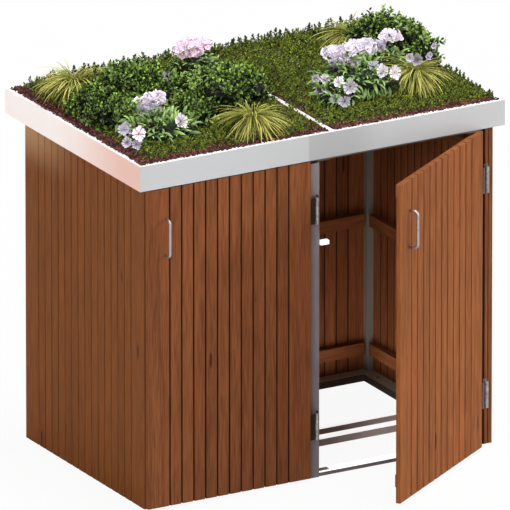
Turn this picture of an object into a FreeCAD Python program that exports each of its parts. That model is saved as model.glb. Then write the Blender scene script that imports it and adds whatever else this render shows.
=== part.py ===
"""Two-bay wheelie bin store: hardwood slats on a steel frame, two doors and a planted roof.

Millimetres. +X is to the right of someone facing the doors, +Y to the back, +Z up.
The origin is on the ground, midway between the side walls and midway front to back.
"""
import FreeCAD, Part
import math
import os
import re

import Sketcher
from FreeCAD import Placement, Rotation, Vector

# Driving dimensions: name, value, meaning
SIZES = (
    ("body_width", 1360, "outer faces of the side walls"),
    ("body_depth", 830, "front ends of the side walls to the back face"),
    ("roof_bottom", 1156, "underside of the fascia above the ground"),
    ("ground_gap", 4, "wall boards above the ground"),
    ("wall_top_gap", 3, "wall boards below the fascia's underside"),
    ("board", 16, "board thickness"),
    ("slat_face", 41.2, "visible face of a narrow slat"),
    ("groove", 5, "groove between two boards"),
    ("lap", 4, "tongue under the next board"),
    ("lip", 8, "front lip of a board over its neighbour's tongue"),
    ("arris", 1.2, "chamfer on the long edges of a board"),
    ("end_board", 85, "wished width of the wide board at each end of a panel"),
    ("fit", 0.3, "running gap between lapped boards"),
    ("tube", 25, "side of the square frame tube"),
    ("tube_wall", 2, "wall of every frame tube"),
    ("rail_width", 50, "base rail, across"),
    ("rail_height", 25, "base rail, upright"),
    ("mid_post_width", 50, "middle posts, seen from the front"),
    ("post_margin", 4.75, "middle post beyond the fixed hinge leaf"),
    ("threshold_setback", 5, "threshold behind the front plane"),
    ("threshold_depth", 40, "threshold, front to back"),
    ("threshold_height", 13, "threshold, upright"),
    ("front_bar_at", 264, "front floor crossbar behind the front plane"),
    ("front_bar", 25, "side of the front floor crossbar"),
    ("rear_bar_at", 366, "rear floor crossbar behind the front plane"),
    ("rear_bar", 20, "side of the rear floor crossbar"),
    ("bearer_at", 402, "roof bearers behind the front plane"),
    ("anchor_radius", 5.5, "ground fixing holes in the side rails"),
    ("anchor_spacing", 600, "ground fixing holes, front to back"),
    ("strip_width", 16, "upright jamb strip beside each side wall"),
    ("jamb_gap", 3, "gap between side wall and jamb strip"),
    ("strip_overhang", 5.25, "right hinge axis inside the jamb strip's edge"),
    ("wall_batten_height", 44, "battens inside the walls"),
    ("batten_depth", 22, "thickness of every batten"),
    ("wall_batten_low", 85, "underside of the lowest wall batten"),
    ("wall_batten_pitch", 469.5, "wall battens, one to the next"),
    ("batten_end_gap", 8, "wall battens short of the posts"),
    ("door_bottom", 11, "doors above the ground"),
    ("door_top_gap", 4, "doors below the fascia's underside"),
    ("door_gap", 11, "back of the closed doors to the front plane"),
    ("door_clear", 2.75, "left door's knuckles to the right door's edge"),
    ("right_door_open", 34, "right door as it stands, degrees from closed"),
    ("left_door_open", 0, "left door as it stands, degrees from closed"),
    ("door_batten_height", 44, "battens on the doors"),
    ("door_batten_low", 42, "lowest door batten above the door's bottom"),
    ("door_batten_pitch", 521, "door battens, one to the next"),
    ("batten_free_inset", 38, "door battens inside the door's free edge"),
    ("batten_hinge_inset", 12, "door battens inside the door's hinged edge"),
    ("hinge_reach", 22.25, "door's hinged edge to the pin's axis"),
    ("pin_proud", 6, "pin's axis in front of the closed door's face"),
    ("hinge_height", 92, "hinge knuckle, top to bottom"),
    ("hinge_low", 195, "centre of the lower hinges above the ground"),
    ("hinge_pitch", 777, "lower to upper hinge"),
    ("knuckle_radius", 6.5, "outside of the hinge knuckle"),
    ("pin_radius", 4, "hinge pin"),
    ("pin_clear", 0.05, "radial running fit of the hinge pin"),
    ("pin_cap_radius", 6, "head of the hinge pin"),
    ("pin_cap", 1.4, "thickness of the pin's head"),
    ("leaf", 2.5, "thickness of the hinge leaves"),
    ("leaf_width", 21, "fixed leaf beyond the pin's axis"),
    ("back_leaf", 50, "door leaf behind the boards"),
    ("leaf_side_gap", 0.25, "door leaf beside the door's hinged edge"),
    ("knuckle_gap", 0.4, "end gap between two knuckles"),
    ("knuckle_swing", 1, "leaf clear of the other leaf's knuckle"),
    ("screw_radius", 2, "shank of the hinge screws"),
    ("screw_length", 13, "shank of the hinge screws"),
    ("screw_head", 4, "radius of the hinge screws' heads"),
    ("screw_head_height", 2.2, "domed head of the hinge screws"),
    ("screw_clear", 0.1, "hole around a screw"),
    ("screw_rise", 32, "outer hinge screws from the hinge's middle"),
    ("handle_centre", 978, "middle of the handles above the ground"),
    ("handle_inset", 70, "handles inside the doors' free edge"),
    ("handle_spacing", 130, "handle feet, centre to centre"),
    ("handle_standoff", 30, "door face to the middle of the grip"),
    ("handle_bend", 17, "bend radius of the handle's corners"),
    ("handle_radius", 5.5, "half of the handle bar's thickness"),
    ("bolt_radius", 2.5, "handle bolts"),
    ("bolt_grip", 12, "handle bolts inside the handle's feet"),
    ("bolt_head", 5, "radius of the handle bolts' heads"),
    ("catch_plate", 2, "thickness of the catch bracket and the strike plate"),
    ("catch_low", 835, "underside of the catch bracket's shelf"),
    ("catch_height", 40, "upright of the catch bracket"),
    ("catch_upright", 15, "width of the catch bracket's upright"),
    ("catch_reach", 36, "shelf beyond the post, at the front"),
    ("catch_taper", 18, "shelf beyond the post, at the back"),
    ("catch_depth", 60, "shelf behind the front plane"),
    ("magnet_length", 30, "catch magnet along the door"),
    ("magnet_height", 14, "catch magnet, upright"),
    ("magnet_back", 10, "catch magnet behind the front plane"),
    ("magnet_inset", 4, "catch magnet beyond the post"),
    ("magnet_gap", 0.5, "strike plate to magnet, door closed"),
    ("strike_margin", 2.5, "strike plate beyond the magnet"),
    ("bracket_leg", 50, "legs of the corner brackets"),
    ("bracket_width", 20, "width of the corner brackets"),
    ("bracket_plate", 3, "thickness of the corner brackets"),
    ("bracket_setback", 18, "corner brackets behind the front plane"),
    ("fascia_height", 90, "roof fascia, upright"),
    ("fascia_side", 30, "fascia beyond the side walls"),
    ("fascia_front", 29, "fascia in front of the front plane"),
    ("fascia_back", 87, "fascia behind the back wall"),
    ("fascia_sheet", 2, "thickness of the fascia"),
    ("rim_width", 21, "flat rim on top of the fascia"),
    ("return_width", 20, "lip under the fascia"),
    ("divider_x", 39.5, "middle of the bar between the trays"),
    ("divider_width", 20, "bar between the trays"),
    ("pan_sheet", 1.5, "thickness of the planting trays"),
    ("pan_clear", 0.5, "planting trays inside the fascia"),
    ("drain_layer", 25, "drainage board"),
    ("fleece", 1.5, "filter fleece"),
    ("soil_clear", 0.3, "roof layers inside the trays"),
    ("soil_below_rim", 6, "gravel surface under the top of the rim"),
    ("mat_thickness", 16, "sedum mat"),
    ("mat_edge", 6, "chamfer around the sedum mats"),
    ("gravel_strip", 28, "bare gravel along the front and the left edge"),
    ("mat_margin", 5, "sedum mat inside the other edges of the rim"),
    ("outlet_radius", 16, "outside of the drain spouts"),
    ("outlet_bore", 13, "bore of the drain spouts"),
    ("outlet_length", 38, "drain spouts under the trays"),
    ("outlet_flange", 25, "radius of the drain spouts' flange"),
    ("outlet_behind_wall", 34, "drain spouts behind the back wall"),
    ("outlet_inset", 200, "drain spouts inside the side walls"),
    ("bush_height", 176, "tallest box bush above the sedum mat"),
    ("flower_height", 130, "tallest flowering clump above the sedum mat"),
    ("grass_height", 74, "grass tufts above the sedum mat"),
)

# Plants: name, then middle and half width as shares of the body's width, middle behind the
# front plane and half depth as shares of its depth, and height as a share of its kind's height
BUSHES = (
    ("left_low", -0.4206, 0.0676, 0.6084, 0.1904, 0.8),
    ("left_high", -0.2735, 0.075, 0.7373, 0.1422, 0.94),
    ("middle", -0.1213, 0.1088, 0.4723, 0.1735, 1),
    ("right", 0.4441, 0.0882, 0.6964, 0.1518, 0.91),
)
FLOWERS = (
    ("front_left", -0.3603, 0.1074, 0.2675, 0.1349, 0.73),
    ("back_left", -0.0934, 0.0603, 0.7892, 0.0916, 0.96),
    ("right", 0.239, 0.1074, 0.3831, 0.159, 1),
)
TUFTS = (
    ("back_left", -0.4206, 0.0684, 0.9518, 0.112, 1),
    ("front_middle", -0.1368, 0.0706, 0.1602, 0.1157, 1),
    ("front_right", 0.4154, 0.0603, 0.2867, 0.1157, 1),
    ("back_right", 0.3397, 0.0676, 0.9373, 0.1012, 1),
)
# Levels of a plant from the ground up: share of its height and share of its plan
BUSH_LEVELS = ((0, 0.82), (0.35, 1), (0.7, 0.86), (0.92, 0.52), (1, 0.2))
LOW_LEVELS = ((0, 0.9), (0.3, 1), (0.75, 0.78), (1, 0.35))
PLANT_SIDES = 12
PLANT_WAVES = 3
PLANT_DENT = 0.06

doc = FreeCAD.newDocument("BinStore")
sheet = doc.addObject("Spreadsheet::Sheet", "Sizes")
nodes = []


def fill_sheet():
    """Write the driving dimensions into the sheet, one named cell each."""
    for row, (name, value, meaning) in enumerate(SIZES, start=1):
        sheet.set(f"A{row}", name)
        sheet.set(f"B{row}", str(value))
        sheet.set(f"C{row}", meaning)
        sheet.setAlias(f"B{row}", name)
    doc.recompute()


NAMES = {name for name, value, meaning in SIZES}


def formula(text):
    """Turn a formula over size names into one over the sheet's cells."""
    return re.sub(r"[a-z_]+", lambda found: f"Sizes.{found[0]}" if found[0] in NAMES else found[0],
                  str(text))


def number(text):
    """Work out a formula."""
    return float(sheet.evalExpression(formula(text)))


# Places that several pieces share, as formulas over the sizes
FRONT = "(-body_depth / 2)"
BACK = "(body_depth / 2)"
SIDE = "(body_width / 2)"
INSIDE = "(body_width / 2 - board)"
INNER_BACK = "(body_depth / 2 - board)"
POST_FRONT = f"({FRONT} + board)"
STRIP = f"({INSIDE} - jamb_gap - strip_width)"
DOOR_WIDTH = (
    f"(({SIDE} + {STRIP} - strip_overhang - 2 * hinge_reach - knuckle_radius - door_clear) / 2)"
)
LEFT_PIN = f"(-{SIDE} + {DOOR_WIDTH} + hinge_reach)"
RIGHT_FREE = f"({LEFT_PIN} + knuckle_radius + door_clear)"
RIGHT_PIN = f"({RIGHT_FREE} + {DOOR_WIDTH} + hinge_reach)"
PIN_BEHIND = "(pin_proud + board + door_gap)"
MID_RIGHT = f"({LEFT_PIN} + leaf_width + post_margin)"
MID_LEFT = f"({MID_RIGHT} - mid_post_width)"
FRAME_TOP = "(roof_bottom + fascia_sheet)"
RAIL_TOP = f"({FRAME_TOP} - tube)"
DOOR_HEIGHT = "(roof_bottom - door_top_gap - door_bottom)"
WALL_HEIGHT = "(roof_bottom - wall_top_gap - ground_gap)"
ROOF_SIDE = f"({SIDE} + fascia_side)"
ROOF_FRONT = f"({FRONT} - fascia_front)"
ROOF_BACK = f"({BACK} + fascia_back)"
ROOF_TOP = "(roof_bottom + fascia_height)"
SOIL_TOP = f"({ROOF_TOP} - soil_below_rim)"
MAT_TOP = f"({SOIL_TOP} + mat_thickness)"
PITCH = "(slat_face + groove)"


# Building blocks

def bind(thing, prop, text):
    """Tie a property to a formula."""
    thing.setExpression(prop, formula(text))


def new_body(name):
    """Make an empty body that may hold several separate solids."""
    body = doc.addObject("PartDesign::Body", name)
    body.Label = name
    body.AllowCompound = True
    return body


def keep(thing):
    """Mark a finished sub-part for export under its label."""
    nodes.append(thing)


def group(name, members):
    """Join alike pieces, each still its own solid, into one sub-part."""
    compound = doc.addObject("Part::Compound", name)
    compound.Links = members
    keep(compound)
    return compound


def place(thing, x=0, y=0, z=0, rotation=None):
    """Turn a piece, then tie its position to three formulas."""
    thing.Placement = Placement(Vector(0, 0, 0), rotation or Rotation())
    bind(thing, "Placement.Base.x", x)
    bind(thing, "Placement.Base.y", y)
    bind(thing, "Placement.Base.z", z)


def sketch_on(body, role, offset=0):
    """Start a sketch on one of the body's own planes, moved along its normal by a formula."""
    plane = next(item for item in body.Origin.OriginFeatures if item.Role == role)
    sketch = body.newObject("Sketcher::SketchObject", f"{body.Name}_sketch")
    sketch.AttachmentSupport = [(plane, "")]
    sketch.MapMode = "FlatFace"
    bind(sketch, "AttachmentOffset.Base.z", offset)
    return sketch


def pin_point(sketch, geometry, point, x, y):
    """Fix a point of the sketch at two formulas from the sketch's origin."""
    for kind, text in (("DistanceX", x), ("DistanceY", y)):
        index = sketch.addConstraint(
            Sketcher.Constraint(kind, -1, 1, geometry, point, number(text)))
        bind(sketch, f"Constraints[{index}]", text)


def outline(sketch, corners):
    """Draw a closed run of straight lines through corners given as pairs of formulas."""
    first = sketch.GeometryCount
    points = [Vector(number(x), number(y), 0) for x, y in corners]
    count = len(points)
    for index in range(count):
        sketch.addGeometry(Part.LineSegment(points[index], points[(index + 1) % count]))
    for index in range(count):
        following = first + (index + 1) % count
        sketch.addConstraint(Sketcher.Constraint("Coincident", first + index, 2, following, 1))
    for index, (x, y) in enumerate(corners):
        pin_point(sketch, first + index, 1, x, y)


def rectangle(sketch, left, low, right, high):
    """Draw a rectangle between two corners."""
    outline(sketch, ((left, low), (right, low), (right, high), (left, high)))


def circle(sketch, x, y, radius):
    """Draw a circle around a point."""
    index = sketch.addGeometry(
        Part.Circle(Vector(number(x), number(y), 0), Vector(0, 0, 1), number(radius)))
    pin_point(sketch, index, 3, x, y)
    size = sketch.addConstraint(Sketcher.Constraint("Radius", index, number(radius)))
    bind(sketch, f"Constraints[{size}]", radius)


def octagon(sketch, x, y, radius):
    """Draw an octagon around a point, for the small fasteners and their holes."""
    corners = []
    for eighth in range(8):
        angle = math.radians(22.5 + 45 * eighth)
        corners.append((f"{x} + ({radius}) * {math.cos(angle):.6f}",
                        f"{y} + ({radius}) * {math.sin(angle):.6f}"))
    outline(sketch, corners)


def add(body, kind, sketch, length, flip=False):
    """Pad or pocket a sketch by a formula's length."""
    feature = body.newObject(f"PartDesign::{kind}", f"{body.Name}_{kind.lower()}")
    feature.Profile = sketch
    bind(feature, "Length", length)
    feature.Reversed = flip
    body.Tip = feature
    return feature


def pad_box(body, left, front, right, back, bottom, height):
    """Add an upright block to a body, from its plan and its height range."""
    sketch = sketch_on(body, "XY_Plane", bottom)
    rectangle(sketch, left, front, right, back)
    return add(body, "Pad", sketch, height)


def repeat(body, feature, sketch, axis, spacing, count):
    """Repeat a feature along a sketch axis at an even spacing."""
    pattern = body.newObject("PartDesign::LinearPattern", f"{body.Name}_pattern")
    pattern.Originals = [feature]
    pattern.Direction = (sketch, [axis])
    bind(pattern, "Length", f"({count} - 1) * {spacing}")
    bind(pattern, "Occurrences", count)
    body.Tip = pattern
    return pattern


def turn(body, corners):
    """Revolve a half outline, radius and height, about the body's upright axis."""
    sketch = sketch_on(body, "XZ_Plane")
    outline(sketch, corners)
    feature = body.newObject("PartDesign::Revolution", f"{body.Name}_turn")
    feature.Profile = sketch
    feature.ReferenceAxis = (sketch, ["V_Axis"])
    feature.Angle = 360
    body.Tip = feature


def copies(template, spots):
    """Place links of one modelled piece at formulas for x, y and z, each with its rotation."""
    links = []
    for x, y, z, rotation in spots:
        link = doc.addObject("App::Link", f"{template.Name}_copy")
        link.LinkedObject = template
        place(link, x, y, z, rotation)
        links.append(link)
    return links


AXIS_PLANES = {"x": "YZ_Plane", "y": "XZ_Plane", "z": "XY_Plane"}


def tube(name, axis, across, upright, length, x, y, z):
    """Make a hollow rectangular tube that runs along an axis from its lowest corner.

    across is its size along the first of the other two axes, upright along the second.
    """
    body = new_body(name)
    sketch = sketch_on(body, AXIS_PLANES[axis])
    rectangle(sketch, 0, 0, across, upright)
    rectangle(sketch, "tube_wall", "tube_wall", f"{across} - tube_wall", f"{upright} - tube_wall")
    add(body, "Pad", sketch, length, flip=(axis == "y"))
    place(body, x, y, z)
    return body


def drill(body, role, offset, spots, radius, depth, flip=False, shape=circle):
    """Cut holes at spots of a body's plane, moved along its normal by offset."""
    sketch = sketch_on(body, role, offset)
    for x, y in spots:
        shape(sketch, x, y, radius)
    add(body, "Pocket", sketch, depth, flip)


# Steel frame

def base_frame():
    """Base rails on the ground, thresholds under the doors and crossbars across each bay."""
    side_length = f"({INNER_BACK} - {POST_FRONT})"
    for name, x in (("base_rail_left", f"-{INSIDE}"), ("base_rail_right", f"{INSIDE} - rail_width")):
        rail = tube(name, "y", "rail_width", "rail_height", side_length, x, POST_FRONT, 0)
        middle = f"-({POST_FRONT})"
        spots = [("rail_width / 2", f"{middle} - anchor_spacing / 2"),
                 ("rail_width / 2", f"{middle} + anchor_spacing / 2")]
        drill(rail, "XY_Plane", "rail_height", spots, "anchor_radius", "rail_height")
        keep(rail)
    inner = f"({INSIDE} - rail_width)"
    keep(tube("base_rail_back", "x", "rail_width", "rail_height", f"2 * {inner}",
              f"-{inner}", f"{INNER_BACK} - rail_width", 0))
    behind_post = f"({POST_FRONT} + tube)"
    keep(tube("base_rail_centre", "y", "mid_post_width", "rail_height",
              f"{INNER_BACK} - rail_width - {behind_post}", MID_LEFT, behind_post, 0))
    bays = (("left", f"-{inner}", MID_LEFT), ("right", MID_RIGHT, inner))
    thresholds = []
    for side, start, end in bays:
        plate = new_body(f"threshold_{side}")
        front = f"{FRONT} + threshold_setback"
        pad_box(plate, start, front, end, f"{front} + threshold_depth", 0, "threshold_height")
        thresholds.append(plate)
    group("door_thresholds", thresholds)
    for name, at, side_of_bar in (("front", "front_bar_at", "front_bar"),
                                  ("rear", "rear_bar_at", "rear_bar")):
        bars = [tube(f"{name}_bar_{side}", "x", side_of_bar, side_of_bar, f"{end} - ({start})",
                     start, f"{FRONT} + {at}", 0)
                for side, start, end in bays]
        group(f"floor_crossbars_{name}", bars)


def posts():
    """Four corner posts on the base rails and two wider middle posts."""
    rise = f"({RAIL_TOP} - rail_height)"
    inner = f"({INSIDE} - tube)"
    for side, x in (("left", f"-{INSIDE}"), ("right", inner)):
        keep(tube(f"post_front_{side}", "z", "tube", "tube", rise, x, POST_FRONT, "rail_height"))
        keep(tube(f"post_back_{side}", "z", "tube", "tube", rise, x, f"{INNER_BACK} - tube",
                  "rail_height"))
    middle = tube("post_mid_front", "z", "mid_post_width", "board + tube", RAIL_TOP, MID_LEFT,
                  FRONT, 0)
    drill(middle, "XZ_Plane", 0, fixed_screw_spots(f"{LEFT_PIN} - {MID_LEFT}"),
          "screw_radius + screw_clear", "tube_wall", shape=octagon)
    keep(middle)
    keep(tube("post_mid_back", "z", "mid_post_width", "tube", rise, MID_LEFT,
              f"{INNER_BACK} - tube", "rail_height"))


def top_frame():
    """Ring of top rails with a centre rail and one bearer across each bay."""
    inner = f"({INSIDE} - tube)"
    for side, x in (("left", f"-{INSIDE}"), ("right", inner)):
        keep(tube(f"top_rail_{side}", "y", "tube", "tube", f"{INNER_BACK} - {POST_FRONT}",
                  x, POST_FRONT, RAIL_TOP))
    for name, y in (("front", POST_FRONT), ("back", f"{INNER_BACK} - tube")):
        keep(tube(f"top_rail_{name}", "x", "tube", "tube", f"2 * {inner}", f"-{inner}", y, RAIL_TOP))
    centre = f"(({MID_LEFT} + {MID_RIGHT} - tube) / 2)"
    keep(tube("top_rail_centre", "y", "tube", "tube",
              f"{INNER_BACK} - {POST_FRONT} - 2 * tube", centre, f"{POST_FRONT} + tube", RAIL_TOP))
    bearers = [tube("bearer_left", "x", "tube", "tube", f"{centre} + {inner}",
                    f"-{inner}", f"{FRONT} + bearer_at", RAIL_TOP),
               tube("bearer_right", "x", "tube", "tube", f"{inner} - {centre} - tube",
                    f"{centre} + tube", f"{FRONT} + bearer_at", RAIL_TOP)]
    group("roof_bearers", bearers)


def corner_brackets():
    """Angle brackets between the posts, the thresholds and the front top rail."""
    bracket = new_body("corner_bracket")
    sketch = sketch_on(bracket, "XZ_Plane")
    outline(sketch, ((0, 0), ("bracket_leg", 0), ("bracket_leg", "bracket_plate"),
                     ("bracket_plate", "bracket_plate"), ("bracket_plate", "bracket_leg"),
                     (0, "bracket_leg")))
    add(bracket, "Pad", sketch, "bracket_width", flip=True)
    near = f"({FRONT} + bracket_setback)"
    far = f"({near} + bracket_width)"
    inner = f"({INSIDE} - tube)"
    mirrored = Rotation(Vector(0, 0, 1), 180)
    hung = Rotation(Vector(1, 0, 0), 180)
    both = Rotation(Vector(0, 1, 0), 180)
    spots = ((MID_RIGHT, near, "threshold_height", None),
             (MID_LEFT, far, "threshold_height", mirrored),
             (MID_RIGHT, far, RAIL_TOP, hung),
             (MID_LEFT, near, RAIL_TOP, both),
             (inner, near, RAIL_TOP, both),
             (f"-{inner}", far, RAIL_TOP, hung))
    group("corner_brackets", copies(bracket, spots))


# Lapped board panels

def board_count(width):
    """Number of narrow slats between the two wide boards of a panel."""
    return f"round(({width} - groove - 2 * end_board) / {PITCH})"


def board_panel(name, width, height, left=0, face=0, bottom=0):
    """Make a panel of upright lapped boards.

    Its outer face lies at y = face, its thickness runs to +Y and its width to +X from left.
    A wide board closes each end, and the narrow slats lie between them.
    """
    body = new_body(name)
    slats = board_count(width)
    wide = f"(({width} - groove - {slats} * {PITCH}) / 2)"
    tongue = "groove + lap - fit"
    back = f"{face} + board"
    edge = f"{face} + arris"
    lip_back = f"{face} + lip"
    tongue_front = f"{face} + lip + fit"

    def tongued(start, end):
        """Right-hand half of a board's section, from its face to the back of its tongue."""
        return ((f"{start} + arris", face), (f"{end} - arris", face), (end, edge),
                (end, tongue_front), (f"{end} + {tongue}", tongue_front), (f"{end} + {tongue}", back))

    def rebated(start):
        """Left-hand half of a board's section, from its back to its face."""
        return ((f"{start} + lap", back), (f"{start} + lap", lip_back), (start, lip_back),
                (start, edge))

    first = sketch_on(body, "XY_Plane", bottom)
    outline(first, tongued(left, f"{left} + {wide}") + ((left, back), (left, edge)))
    add(body, "Pad", first, height)
    slat_left = f"({left} + {wide} + groove)"
    middle = sketch_on(body, "XY_Plane", bottom)
    outline(middle, tongued(slat_left, f"{slat_left} + slat_face") + rebated(slat_left))
    slat = add(body, "Pad", middle, height)
    repeat(body, slat, middle, "H_Axis", PITCH, slats)
    right = f"({left} + {width})"
    last_left = f"({right} - {wide})"
    last = sketch_on(body, "XY_Plane", bottom)
    outline(last, ((f"{last_left} + arris", face), (f"{right} - arris", face), (right, edge),
                   (right, back)) + rebated(last_left))
    add(body, "Pad", last, height)
    return body


def walls():
    """Side walls and back wall of lapped boards."""
    left = board_panel("left_wall_boards", "body_depth", WALL_HEIGHT)
    place(left, f"-{SIDE}", BACK, "ground_gap", Rotation(Vector(0, 0, 1), -90))
    right = board_panel("right_wall_boards", "body_depth", WALL_HEIGHT)
    place(right, SIDE, FRONT, "ground_gap", Rotation(Vector(0, 0, 1), 90))
    back = board_panel("back_wall_boards", f"(2 * ({INSIDE} - fit))", WALL_HEIGHT)
    place(back, f"{INSIDE} - fit", BACK, "ground_gap", Rotation(Vector(0, 0, 1), 180))
    for panel in (left, right, back):
        keep(panel)


def battens(body, left, front, right, back, low, height, pitch, top):
    """Add as many level battens, one above the other, as fit under a given height."""
    sketch = sketch_on(body, "XY_Plane", low)
    rectangle(sketch, left, front, right, back)
    lowest = add(body, "Pad", sketch, height)
    repeat(body, lowest, sketch, "N_Axis", pitch, f"(floor(({top} - {low} - {height}) / {pitch}) + 1)")


def wall_battens():
    """Battens that the wall boards are screwed to, between the posts."""
    near = f"({POST_FRONT} + tube + batten_end_gap)"
    far = f"({INNER_BACK} - tube - batten_end_gap)"
    for side, left in (("left", f"-{INSIDE}"), ("right", f"({INSIDE} - batten_depth)")):
        body = new_body(f"{side}_wall_battens")
        battens(body, left, near, f"{left} + batten_depth", far, "wall_batten_low",
                "wall_batten_height", "wall_batten_pitch", RAIL_TOP)
        keep(body)
    corner = f"({INSIDE} - tube - batten_end_gap)"
    rows = []
    for side, left, right in (("left", f"-{corner}", f"{MID_LEFT} - batten_end_gap"),
                              ("right", f"{MID_RIGHT} + batten_end_gap", corner)):
        body = new_body(f"back_battens_{side}")
        battens(body, left, f"{INNER_BACK} - batten_depth", right, INNER_BACK, "wall_batten_low",
                "wall_batten_height", "wall_batten_pitch", RAIL_TOP)
        rows.append(body)
    group("back_wall_battens", rows)


def jamb_strips():
    """Upright strips in front of the front posts, with pilot holes where hinges are screwed on."""
    for side, left in (("left", f"(-{STRIP} - strip_width)"), ("right", STRIP)):
        body = new_body(f"jamb_strip_{side}")
        pad_box(body, left, FRONT, f"{left} + strip_width", POST_FRONT, "ground_gap",
                f"{FRAME_TOP} - ground_gap")
        if side == "right":
            drill(body, "XZ_Plane", f"-({FRONT})", fixed_screw_spots(RIGHT_PIN),
                  "screw_radius + screw_clear", "board", shape=octagon)
        keep(body)


# Hinges, modelled with the pin's axis as their upright axis

HINGE_LEVELS = ("hinge_low", "(hinge_low + hinge_pitch)")
KNUCKLE = "((hinge_height - 2 * knuckle_gap) / 3)"
FIXED_SCREW_X = "((knuckle_radius + leaf_width) / 2)"
DOOR_SCREWS = (("back_leaf * 0.3", "screw_rise"), ("back_leaf * 0.75", "0"),
               ("back_leaf * 0.3", "-screw_rise"))
SCREW_STEPS = ("screw_rise", "0", "-screw_rise")


def fixed_screw_spots(pin):
    """Plan x and height of the screws through both fixed leaves on one pin axis."""
    return [(f"{pin} + {FIXED_SCREW_X}", f"{level} + {step}")
            for level in HINGE_LEVELS for step in SCREW_STEPS]


def door_screw_spots():
    """Door x and height of the screws through both door leaves."""
    return [(f"-hinge_reach - {inset}", f"{level} + {step}")
            for level in HINGE_LEVELS for inset, step in DOOR_SCREWS]


def knuckle(body, bottom):
    """Add one knuckle's ring around the pin's axis."""
    sketch = sketch_on(body, "XY_Plane", bottom)
    circle(sketch, 0, 0, "knuckle_radius")
    add(body, "Pad", sketch, KNUCKLE)


def pin_bore(body):
    """Clear the pin's bore through every knuckle."""
    drill(body, "XY_Plane", "hinge_height / 2", [(0, 0)], "pin_radius + pin_clear", "hinge_height")


def fixed_leaf():
    """Cranked leaf that is screwed to the frame, with the lower and the upper knuckle."""
    body = new_body("fixed_leaf")
    low = "-hinge_height / 2"
    inner = "knuckle_radius - leaf"
    sketch = sketch_on(body, "XY_Plane", low)
    outline(sketch, ((inner, 0), ("knuckle_radius", 0), ("knuckle_radius", f"{PIN_BEHIND} - leaf"),
                     ("leaf_width", f"{PIN_BEHIND} - leaf"), ("leaf_width", PIN_BEHIND),
                     (inner, PIN_BEHIND)))
    add(body, "Pad", sketch, "hinge_height")
    notch = sketch_on(body, "XY_Plane", f"{KNUCKLE} / 2 + knuckle_gap")
    swing = "(knuckle_radius + knuckle_swing)"
    rectangle(notch, 0, -1, swing, swing)
    add(body, "Pocket", notch, f"{KNUCKLE} + 2 * knuckle_gap")
    knuckle(body, low)
    knuckle(body, f"{KNUCKLE} / 2 + knuckle_gap")
    pin_bore(body)
    spots = [(FIXED_SCREW_X, step) for step in SCREW_STEPS]
    drill(body, "XZ_Plane", f"-({PIN_BEHIND} - leaf)", spots, "screw_radius + screw_clear", "leaf",
          shape=octagon)
    return body


def door_leaf():
    """Leaf that wraps the door's hinged edge, with the middle knuckle."""
    body = new_body("door_leaf")
    inner = "knuckle_radius - leaf"
    start = "-(knuckle_radius + knuckle_swing)"
    edge = "-(hinge_reach - leaf_side_gap)"
    door_back = "pin_proud + board"
    sketch = sketch_on(body, "XY_Plane", "-hinge_height / 2")
    outline(sketch, ((start, inner), (start, "knuckle_radius"), (f"{edge} + leaf", "knuckle_radius"),
                     (f"{edge} + leaf", f"{door_back} + leaf"),
                     ("-hinge_reach - back_leaf", f"{door_back} + leaf"),
                     ("-hinge_reach - back_leaf", door_back), (edge, door_back), (edge, inner)))
    add(body, "Pad", sketch, "hinge_height")
    tab = sketch_on(body, "XY_Plane", f"-{KNUCKLE} / 2")
    rectangle(tab, start, inner, 0, "knuckle_radius")
    add(body, "Pad", tab, KNUCKLE)
    knuckle(body, f"-{KNUCKLE} / 2")
    pin_bore(body)
    spots = [(f"-hinge_reach - {inset}", step) for inset, step in DOOR_SCREWS]
    drill(body, "XZ_Plane", f"-({door_back} + leaf)", spots, "screw_radius + screw_clear", "leaf",
          flip=True, shape=octagon)
    return body


def hinge_pin():
    """Pin with a flat head on top of the knuckles and its end just below them."""
    body = new_body("hinge_pin")
    half = "(hinge_height / 2)"
    turn(body, ((0, f"-{half} - pin_cap"), ("pin_radius", f"-{half} - pin_cap"),
                ("pin_radius", half), ("pin_cap_radius", half),
                ("pin_cap_radius", f"{half} + pin_cap"), (0, f"{half} + pin_cap")))
    return body


def screw(name, shank, length, head, head_height):
    """Screw along its own axis, with the underside of its stepped head at height 0."""
    body = new_body(name)
    step = f"({head_height} / 2)"
    for bottom, radius, height in ((f"-{length}", shank, length), (0, head, step),
                                   (step, f"{head} * 0.7", step)):
        sketch = sketch_on(body, "XY_Plane", bottom)
        octagon(sketch, 0, 0, radius)
        add(body, "Pad", sketch, height)
    return body


POINTS_BACK = Rotation(Vector(1, 0, 0), 90)
POINTS_FRONT = Rotation(Vector(1, 0, 0), -90)


def frame_hinges():
    """Fixed leaves, pins and their screws at both pin axes."""
    leaf = fixed_leaf()
    axes = ((LEFT_PIN, f"{FRONT} - {PIN_BEHIND}"), (RIGHT_PIN, f"{FRONT} - {PIN_BEHIND}"))
    spots = [(x, y, level, None) for x, y in axes for level in HINGE_LEVELS]
    group("fixed_hinge_leaves", copies(leaf, spots))
    group("hinge_pins", copies(hinge_pin(), spots))
    frame_screw = screw("frame_screw", "screw_radius", "screw_length", "screw_head",
                        "screw_head_height")
    heads = [(x, f"{FRONT} - leaf", z, POINTS_BACK)
             for pin, y in axes for x, z in fixed_screw_spots(pin)]
    group("hinge_frame_screws", copies(frame_screw, heads))


# Doors, modelled closed with the pin's axis as their upright axis

def hang(thing, side):
    """Put a piece of a door on its hinge axis, turned as the door stands."""
    pin = LEFT_PIN if side == "left" else RIGHT_PIN
    place(thing, pin, f"{FRONT} - {PIN_BEHIND}", 0, Rotation(Vector(0, 0, 1), 1))
    bind(thing, "Placement.Rotation.Angle", f"{side}_door_open")


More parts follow.
